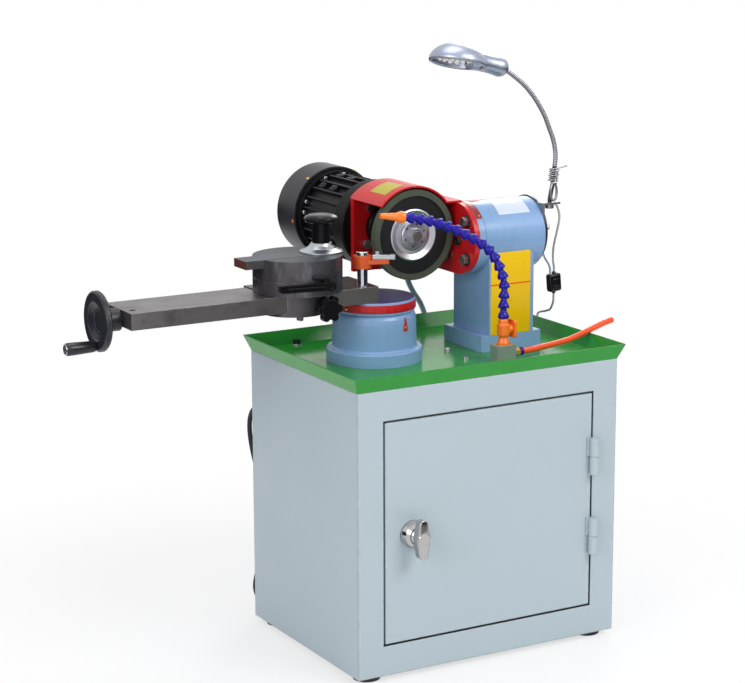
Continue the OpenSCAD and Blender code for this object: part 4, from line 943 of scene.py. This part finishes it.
def lamp_shell():
    """Gourd shaped reflector: round end, waist and shallow dome flowing into each other."""
    arc = np.linspace(0.05, math.pi - 0.05, 20)
    ball = [(BULB_R * math.sin(a), -BULB_R * math.cos(a)) for a in arc]
    dome = [
        (0.5, 11), (34, 11), (34.4, 1.2), (36.6, 0), (39, 0.6), (39.9, 3), (39.5, 7), (37, 13), (32, 19),
        (25, 24), (16, 27.5), (8, 28.7), (0.5, 28.9),
    ]
    waist = (DOME + DOME_UP * 12) - BULB
    pieces = [
        lathe("ball", ball, BULB, segments=40),
        lathe("waist", [(13.4, 0), (12.4, 18), (12.8, 34), (15, 48)], BULB, waist, 40),
        lathe("dome", dome, DOME, DOME_UP, 72),
    ]
    rough = joined("lamp_rough", pieces)
    melt = rough.modifiers.new("melt", "REMESH")
    melt.mode = "VOXEL"
    melt.voxel_size = SKIN_VOXEL * MM
    ease = rough.modifiers.new("ease", "SMOOTH")
    ease.factor = SKIN_EASE
    ease.iterations = SKIN_PASSES
    seen = rough.evaluated_get(bpy.context.evaluated_depsgraph_get())
    mesh = bpy.data.meshes.new_from_object(seen)
    mesh.name = "lamp_shell"
    shade_smooth(mesh)
    bpy.data.objects.remove(rough)
    return linked("lamp_shell", mesh)


def lamp_leds():
    """Rings of small domed lights inside the reflector."""
    side = DOME_UP.cross(Vector(BACK)).normalized()
    across = DOME_UP.cross(side)
    profile = [(2.7, -0.3), (2.7, 1.8), (2.3, 2.9), (1.3, 3.6), (0.2, 3.8)]
    pieces = []
    for radius, count in ((8.5, 6), (18, 12), (27, 18)):
        for k in range(count):
            a = 2 * math.pi * k / count
            spot = DOME + DOME_UP * LENS_IN + (side * math.cos(a) + across * math.sin(a)) * radius
            pieces.append(lathe("led", profile, spot, -DOME_UP, 16, 60))
    return joined("lamp_leds", pieces)


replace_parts(fit(lamp_shell(), lamp_chrome, "lamp"), "lamp_head")
fit(lamp_leds(), led_white, "lamp")

# Plates, scales and small fittings, in millimetres

BARREL_Y, BARREL_Z, BARREL_R = 12.5, 555, 50


def on_barrel(a, x, r):
    return (x, BARREL_Y - r * math.sin(a), BARREL_Z + r * math.cos(a))


def on_guard(a, y, r):
    return (WHEEL_X + r * math.cos(a), y, WHEEL_Z + r * math.sin(a))


def on_motor(angle, y, radius):
    return Vector(on_guard(math.radians(angle), y, radius))


def out_of_motor(angle):
    return on_motor(angle, 0, 1) - on_motor(angle, 0, 0)


def out_of_base(angle):
    return Vector((math.cos(angle), math.sin(angle), 0))


def tipped(degrees):
    return Matrix.Rotation(math.radians(degrees), 3, "Y")


def curved_plate(name, at, across, along, radius, thick, steps=24):
    """Thin plate on a round surface; at(angle, run, radius) gives a place on it."""
    face = radius + thick
    section = [(along[0], face), (along[1], face), (along[1], radius), (along[0], radius)]
    verts = []
    for i in range(steps + 1):
        a = math.radians(across[0] + (across[1] - across[0]) * i / steps)
        verts += [Vector(at(a, s, r)) * MM for s, r in section]
    made = mesh_object(name, verts, ring_faces(steps + 1, len(section)), sharp=30)
    bm = bmesh.new()
    bm.from_mesh(made.data)
    bmesh.ops.recalc_face_normals(bm, faces=bm.faces)
    bm.to_mesh(made.data)
    bm.free()
    return made


def flat_plate(name, outline, place, across, up, thick, bevel=0.25):
    """Plate of an outline given across and up, its back at place."""
    across, up = Vector(across).normalized(), Vector(up).normalized()
    out = across.cross(up)
    bm = bmesh.new()
    ring = [bm.verts.new((Vector(place) + across * x + up * z) * MM) for x, z in outline]
    face = bm.faces.new(ring)
    grown = bmesh.ops.extrude_face_region(bm, geom=[face])
    top = [v for v in grown["geom"] if isinstance(v, bmesh.types.BMVert)]
    bmesh.ops.translate(bm, vec=out * thick * MM, verts=top)
    bmesh.ops.recalc_face_normals(bm, faces=bm.faces)
    edges = [e for e in bm.edges if all(v in top for v in e.verts)]
    bmesh.ops.bevel(bm, geom=edges, offset=bevel * MM, segments=2, affect="EDGES", profile=0.5)
    mesh = to_mesh(name, bm)
    shade_smooth(mesh, sharp=35)
    return linked(name, mesh)


def rounded_outline(x0, x1, z0, z1, r, steps=5):
    corners = (
        (x1 - r, z0 + r, -90), (x1 - r, z1 - r, 0), (x0 + r, z1 - r, 90), (x0 + r, z0 + r, 180),
    )
    out = []
    for cx, cz, start in corners:
        for k in range(steps + 1):
            a = math.radians(start + 90 * k / steps)
            out.append((cx + r * math.cos(a), cz + r * math.sin(a)))
    return out


def screw(name, place, way, radius, look, body):
    """Round-headed screw."""
    profile = [
        (0.3, -0.4), (radius, -0.4), (radius, 0.2 * radius), (0.8 * radius, 0.5 * radius),
        (0.3, 0.62 * radius),
    ]
    return fit(lathe(name, profile, place, way, 24), look, body)


def hex_head(name, place, way, radius, height, look, body):
    """Six-sided bolt head with a chamfer and a shallow dish."""
    profile = [
        (0.3, -0.3), (radius, -0.3), (radius, 0.8 * height), (0.84 * radius, height),
        (0.5 * radius, height), (0.3, 0.9 * height),
    ]
    return fit(lathe(name, profile, place, way, 6, 25), look, body)


# Tilt scale and plates of the head and column

SCALE_T, INDEX_T, STICKER_T, COLUMN_PLATE_T = 0.6, 0.7, 0.25, 0.4
SCALE_SCREW_X, SCALE_SCREW_R = 59.5, 1.7
GUARD_R = 68
COLUMN_FRONT_Y = -34
DIVIDER_FROM_Z, DIVIDER_TO_Z = 491.7, 493.8
# Name, round surface, arc in degrees, run along the axis, radius, thickness, finish, body and slot
ROUND_PLATES = (
    ("tilt_scale", on_barrel, (-50, 51), (54.5, 63.4), BARREL_R, SCALE_T, dark_red, "head", "red_paint"),
    ("tilt_index", on_barrel, (-4, 5), (64.6, 80), BARREL_R, INDEX_T, red_paint, "stand", "red_paint"),
    ("barrel_plate", on_barrel, (2, 48), (92, 143), BARREL_R, STICKER_T, white_plate, "stand", None),
    ("guard_plate", on_guard, (97, 124), (26, 67), GUARD_R, STICKER_T, olive_plate, "head", None),
)

for name, at, arc, run, radius, thick, look, body, slot in ROUND_PLATES:
    fit(curved_plate(name, at, arc, run, radius, thick), look, body)
for i, angle in enumerate((-46.6, 46.6)):
    a = math.radians(angle)
    spot = on_barrel(a, SCALE_SCREW_X, BARREL_R + SCALE_T)
    out = (0, -math.sin(a), math.cos(a))
    screw(f"scale_screw_{i}", spot, out, SCALE_SCREW_R, brass, "head")
divider = yellow_plate.between(yellow_plate.place("Z"), DIVIDER_FROM_Z * MM, DIVIDER_TO_Z * MM)
overlay(yellow_plate, divider, (236, 96, 22))
column_outline = rounded_outline(x0=73.5, x1=138.5, z0=422, z1=538, r=3)
column_at = (0, COLUMN_FRONT_Y, 0)
column_plate = flat_plate("column_plate", column_outline, column_at, RIGHT, UP, COLUMN_PLATE_T)
fit(column_plate, yellow_plate, "stand")

# Pointer of the swivel base and screw of its scale band

POINTER, POINTER_R, POINTER_Z = math.radians(-72.5), 57.4, 446
POINTER_H, POINTER_T, POINTER_SCREW_UP = 18.5, 1.2, 4.6
BAND_END, BAND_SCREW_R, BAND_SCREW_Z = math.radians(-160), 57.2, 477.6

pointer_out = out_of_base(POINTER)
pointer_side = Vector((-math.sin(POINTER), math.cos(POINTER), 0))
pointer_at = Vector((BASE_X, BASE_Y, POINTER_Z)) + pointer_out * POINTER_R
pointer_outline = [(-4.1, 0), (4.1, 0), (0.5, POINTER_H), (-0.5, POINTER_H)]
pointer = flat_plate("angle_pointer", pointer_outline, pointer_at, pointer_side, UP, POINTER_T)
fit(pointer, red_paint, "stand")
pointer_screw_at = pointer_at + pointer_out * POINTER_T + Vector((0, 0, POINTER_SCREW_UP))
screw("pointer_screw", pointer_screw_at, pointer_out, 2.0, brass, "stand")
band_out = out_of_base(BAND_END)
band_screw_at = Vector((BASE_X, BASE_Y, BAND_SCREW_Z)) + band_out * BAND_SCREW_R
screw("band_screw", band_screw_at, band_out, 2.1, bright_steel, "arm")

# Bolts, pads and screws of the motor

SHIELD_Y, SHIELD_BOLT_R = 228, 57.8
PAD_R, PAD_TOP_R = 56, 60.4
COWL_SCREW_Y, COWL_R = 241.5, 67.9

for i, angle in enumerate((82.5, 112.5, 157.5, 172.5)):
    spot = on_motor(angle, SHIELD_Y, SHIELD_BOLT_R)
    hex_head(f"shield_bolt_{i}", spot, FRONT, 3.4, 5, bright_steel, "head")
for i, (angle, y) in enumerate(((127.5, 209), (127.5, 176), (97.5, 209), (97.5, 176))):
    pad = block("pad", (10, 14, 9), on_motor(angle, y, PAD_R), tipped(90 - angle), 1.2, 3)
    rim = [(3.4, -0.2), (3.4, 0.5), (2.0, 0.5), (1.6, 0.1), (0.2, 0.1)]
    hole = lathe("hole", rim, on_motor(angle, y, PAD_TOP_R), out_of_motor(angle), 20)
    fit(joined(f"frame_pad_{i}", [pad, hole]), motor_paint, "head")
for i, (angle, look) in enumerate(((129, brass), (186, orange_paint), (60, brass))):
    spot = on_motor(angle, COWL_SCREW_Y, COWL_R)
    screw(f"cowl_screw_{i}", spot, out_of_motor(angle), 2.7, look, "head")

# Cap and bolt at the barrel's end, boss on the red bracket

CAP_Z, CAP_T = 557.6, 4.2
BRACKET_BOLT = (BARREL_END + CAP_T + 0.2, -28, 566)
BOSS = (46.6, 7, 552)

cap = [(0.5, 0), (48.4, 0), (49, 0.6), (49, 3.8), (48.2, 4.6), (40, 4.6), (39, CAP_T), (0.5, CAP_T)]
barrel_cap = lathe("barrel_cap", cap, (BARREL_END + 0.05, BARREL_Y, CAP_Z), RIGHT, 72)
fit(barrel_cap, black_gloss, "stand")
hex_head("bracket_bolt", BRACKET_BOLT, RIGHT, 4.8, 6, ground_steel, "stand")
boss = [(0.4, -0.5), (6.4, -0.5), (6.4, 3.2), (5.6, 4.2), (2.4, 4.2), (2.0, 3.4), (0.4, 3.4)]
fit(lathe("bracket_boss", boss, BOSS, LEFT, 32), black_gloss, "head")

# Crowned wing of the door lock

LOCK_RIDGE, LOCK_RISE, LOCK_SINK, LOCK_IN = 5.0, 1.9, 0.3, 1.98
LOCK_UPPER_RUN, LOCK_LOWER_RUN = 19.6, 44
# Height above the lock's middle, half the wing's width there
LOCK_OUTLINE = (
    (-28.4, 0.4), (-27.6, 3.2), (-25.6, 5.4), (-22, 6.4), (0, 9.9), (18, 6.4), (21.4, 5.4), (23.6, 3.2),
    (24.4, 0.4),
)


def lock_face(steps=24, across=8):
    """Crowned face of the lock's wing: two slopes that meet in a ridge above the middle."""
    low, high = box_mm("lock_escutcheon")
    front = box_mm("lock_handle")[0][1]
    middle = Vector(((low[0] + high[0]) / 2, front + LOCK_IN, (low[2] + high[2]) / 2))
    heights, widths = zip(*LOCK_OUTLINE)
    verts, faces = [], []
    for i in range(steps + 1):
        s = heights[0] + (heights[-1] - heights[0]) * (0.5 - 0.5 * math.cos(math.pi * i / steps))
        w = float(np.interp(s, heights, widths))
        run = LOCK_UPPER_RUN if s > LOCK_RIDGE else LOCK_LOWER_RUN
        rise = LOCK_RISE * (1 - abs(s - LOCK_RIDGE) / run)
        for k in range(across + 1):
            t = 2 * k / across - 1
            lift = -LOCK_SINK if abs(t) == 1 else rise * (1 - 0.15 * t * t)
            verts.append((middle + Vector((w * t, -lift, s))) * MM)
    row = across + 1
    for i in range(steps):
        for k in range(across):
            a = i * row + k
            faces.append((a, a + 1, a + row + 1, a + row))
        faces.append((i * row, (i + 1) * row, (i + 1) * row + across, i * row + across))
    return mesh_object("lock_face", verts, faces, sharp=6)


fit(lock_face(), lock_chrome, "latch")

# Clamp lever, neck bolt, hose clamp and wheel plate

LEVER_HUB_R = 7
NECK_BOLT = (-223.5, -33, 481.4)
CLAMP_FROM_TAIL = 12.6
PLATE_T, PLATE_SINK, PLATE_HOLES_R = 3, 2, 15.6


def lever_thumb():
    """Thumb wing on its stem, a rib along the lever and the socket of its screw."""
    low, high = box_mm("clamp_lever")
    hub_at = Vector((high[0] - LEVER_HUB_R, low[1], low[2] + LEVER_HUB_R))
    socket = [(5.4, 0), (5.2, 0.8), (3.2, 0.8), (2.8, 0.2), (0.3, 0.2)]
    pieces = [
        block("wing", (25, 5.2, 6), hub_at + Vector((-14, 3.4, 11.4)), tipped(6), 2.4, 4),
        block("stem", (9, 4.6, 9), hub_at + Vector((-5, 3.4, 7)), None, 1.4, 3),
        block("rib", (58, 1.4, 1.6), hub_at + Vector((-36, 0.4, 1)), tipped(2), 0.6, 3),
        lathe("socket", socket, hub_at, FRONT, 24),
    ]
    return joined("lever_thumb", pieces)


fit(lever_thumb(), knob_black, "lever")
hex_head("neck_bolt", NECK_BOLT, DOWN, 5.2, 6, bright_steel, "saddle")

clamp = [(4.3, 0), (5.4, 0), (5.7, 0.5), (5.7, 3), (5.4, 3.5), (4.3, 3.5)]
hose_clamp = lathe("hose_clamp", clamp, Vector(HOSE_TAIL) + Vector((CLAMP_FROM_TAIL, 0, 0)), RIGHT, 32)
fit(hose_clamp, blue_plastic, "stand")

stone_face = box_mm("grinding_wheel")[0][1]
plate = [(0.5, 0), (19.6, 0), (19.6, 2.2), (18.8, PLATE_T), (12.5, PLATE_T), (12, 2.4), (0.5, 2.4)]
hub_plate = lathe("hub_plate", plate, (WHEEL_X, stone_face + PLATE_SINK, WHEEL_Z), FRONT, 64)
fit(hub_plate, hub, "spindle")
# Six flat dark dots on the plate: the shade inside its holes, painted on.
hole_shades = []
for k in range(6):
    spot = on_motor(60 * k + 20, stone_face + PLATE_SINK - PLATE_T + 0.05, PLATE_HOLES_R)
    hole_shades.append(lathe("dot", [(0.2, 0), (1.5, 0), (1.5, 0.12), (0.2, 0.12)], spot, FRONT, 16))
fit(joined("hub_hole_shades", hole_shades), dark_hole, "spindle")

# Handle of the crank grip and grub screw of the arm bar

PIN_R = 3.05
GRUB_FROM_END, GRUB_FROM_AXIS = 11, 21


def grip_handle():
    """Tapered handle with a short bore for its pin at either end."""
    low, high = box_mm("crank_grip")
    r, size = (high[1] - low[1]) / 2, high[0] - low[0]
    profile = [
        (PIN_R, 3), (PIN_R, 0), (r - 2.3, 0), (r - 0.7, 1.4), (r, 4), (r - 0.1, 12), (r - 1.0, size - 5),
        (r - 1.6, size - 1.4), (r - 2.4, size - 0.1), (PIN_R, size - 0.1), (PIN_R, size - 2),
    ]
    place = (low[0], (low[1] + high[1]) / 2, (low[2] + high[2]) / 2)
    return lathe("grip_handle", profile, place, RIGHT, 40)


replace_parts(fit(grip_handle(), wheel_black, "grip"), "crank_grip")

low, high = box_mm("arm_bar")
grub = [(0.3, -1), (4.4, -1), (4.4, 0.1), (4.0, 0.25), (2.6, 0.25), (2.2, -0.6), (0.3, -0.6)]
grub_at = (low[0] + GRUB_FROM_END, BASE_Y - GRUB_FROM_AXIS, high[2])
fit(lathe("bar_grub", grub, grub_at, UP, 32), dark_hole, "arm")

# Floor and light

WHITE = (1, 1, 1, 1)
SKY, SKY_STRENGTH = (0.93, 0.96, 1, 1), 0.36
FLOOR_HALF = 15
FLOOR_MIDDLE, NEAR_R, FAR_R, NEAR_GLOW = (-0.05, 0.05, 0), 0.42, 0.85, 0.66
CLOTH_R, CLOTH_LOW, CLOTH_HIGH, OPENING = 1.5, 0.01, 0.64, (-150, -95)


def seen_white(tree):
    """1 for the rays of the camera, of reflections and through glass, which all meet a white studio."""
    path = tree.nodes.new("ShaderNodeLightPath")
    total = path.outputs["Is Camera Ray"]
    for name in ("Is Glossy Ray", "Is Transmission Ray"):
        more = tree.nodes.new("ShaderNodeMath")
        more.operation = "MAXIMUM"
        tree.links.new(total, more.inputs[0])
        tree.links.new(path.outputs[name], more.inputs[1])
        total = more.outputs[0]
    return total


def make_floor():
    """Pale floor that turns white away from the part, and keeps its shadow near it."""
    look = Look("floor")
    look.set(Base_Color=rgba((0.9, 0.9, 0.9)), Roughness=0.7)
    glow = look.add("ShaderNodeEmission", {"Color": WHITE, "Strength": 1.0})
    far = look.fade(look.radius(FLOOR_MIDDLE, "z"), NEAR_R, FAR_R, NEAR_GLOW, 1.0)
    bright = look.math("MULTIPLY", seen_white(look.tree), far)
    mixed = look.add("ShaderNodeMixShader", {0: bright, 1: look.shader.outputs[0], 2: glow.outputs[0]})
    look.tree.links.new(mixed.outputs[0], look.out.inputs[0])
    h = FLOOR_HALF
    corners = [(-h, -h, 0), (h, -h, 0), (h, h, 0), (-h, h, 0)]
    floor = mesh_object("floor", corners, [(0, 1, 2, 3)])
    floor.data.materials.append(look.material)


def dark_band(name, radius, low, high, steps=64):
    """Dark cloth round the studio, which only reflections show, so that upright metal keeps its shape."""
    ring = [(math.cos(2 * math.pi * k / steps), math.sin(2 * math.pi * k / steps)) for k in range(steps)]
    verts = [(radius * x, radius * y, z) for z in (low, high) for x, y in ring]
    kept = [k for k in range(steps) if not OPENING[0] < 360 * (k + 0.5) / steps - 360 < OPENING[1]]
    faces = [(k, (k + 1) % steps, steps + (k + 1) % steps, steps + k) for k in kept]
    band = mesh_object(name, verts, faces)
    cloth = Look("cloth")
    cloth.set(Base_Color=rgba((0.03, 0.03, 0.032)), Roughness=0.9, Specular_IOR_Level=0.0)
    band.data.materials.append(cloth.material)
    for kind in ("camera", "diffuse", "shadow", "transmission"):
        setattr(band, "visible_" + kind, False)


def make_world():
    """Soft sky light, and plain white where it is seen."""
    world = bpy.data.worlds.new("world")
    scene.world = world
    world.use_nodes = True
    tree = world.node_tree
    tree.nodes.clear()
    out = tree.nodes.new("ShaderNodeOutputWorld")
    mix = tree.nodes.new("ShaderNodeMixShader")
    tree.links.new(seen_white(tree), mix.inputs[0])
    for socket, colour, strength in ((1, SKY, SKY_STRENGTH), (2, WHITE, 1.0)):
        sky = tree.nodes.new("ShaderNodeBackground")
        sky.inputs[0].default_value = colour
        sky.inputs[1].default_value = strength
        tree.links.new(sky.outputs[0], mix.inputs[socket])
    tree.links.new(mix.outputs[0], out.inputs[0])


make_floor()
dark_band("cloth", CLOTH_R, CLOTH_LOW, CLOTH_HIGH)
make_world()
area_light("key", (0.9, -2.2, 2.3), (0, 0, 0.45), (1.6, 1.2), 47)
area_light("fill", (-2.4, -1.2, 1.4), (-0.1, 0, 0.4), (1.6, 1.6), 28)
area_light("top", (-0.2, 0.3, 2.8), (-0.1, 0, 0.5), (1.8, 1.4), 20)
area_light("rim", (1.8, 1.9, 1.9), (0, 0, 0.5), (1.0, 1.4), 20)
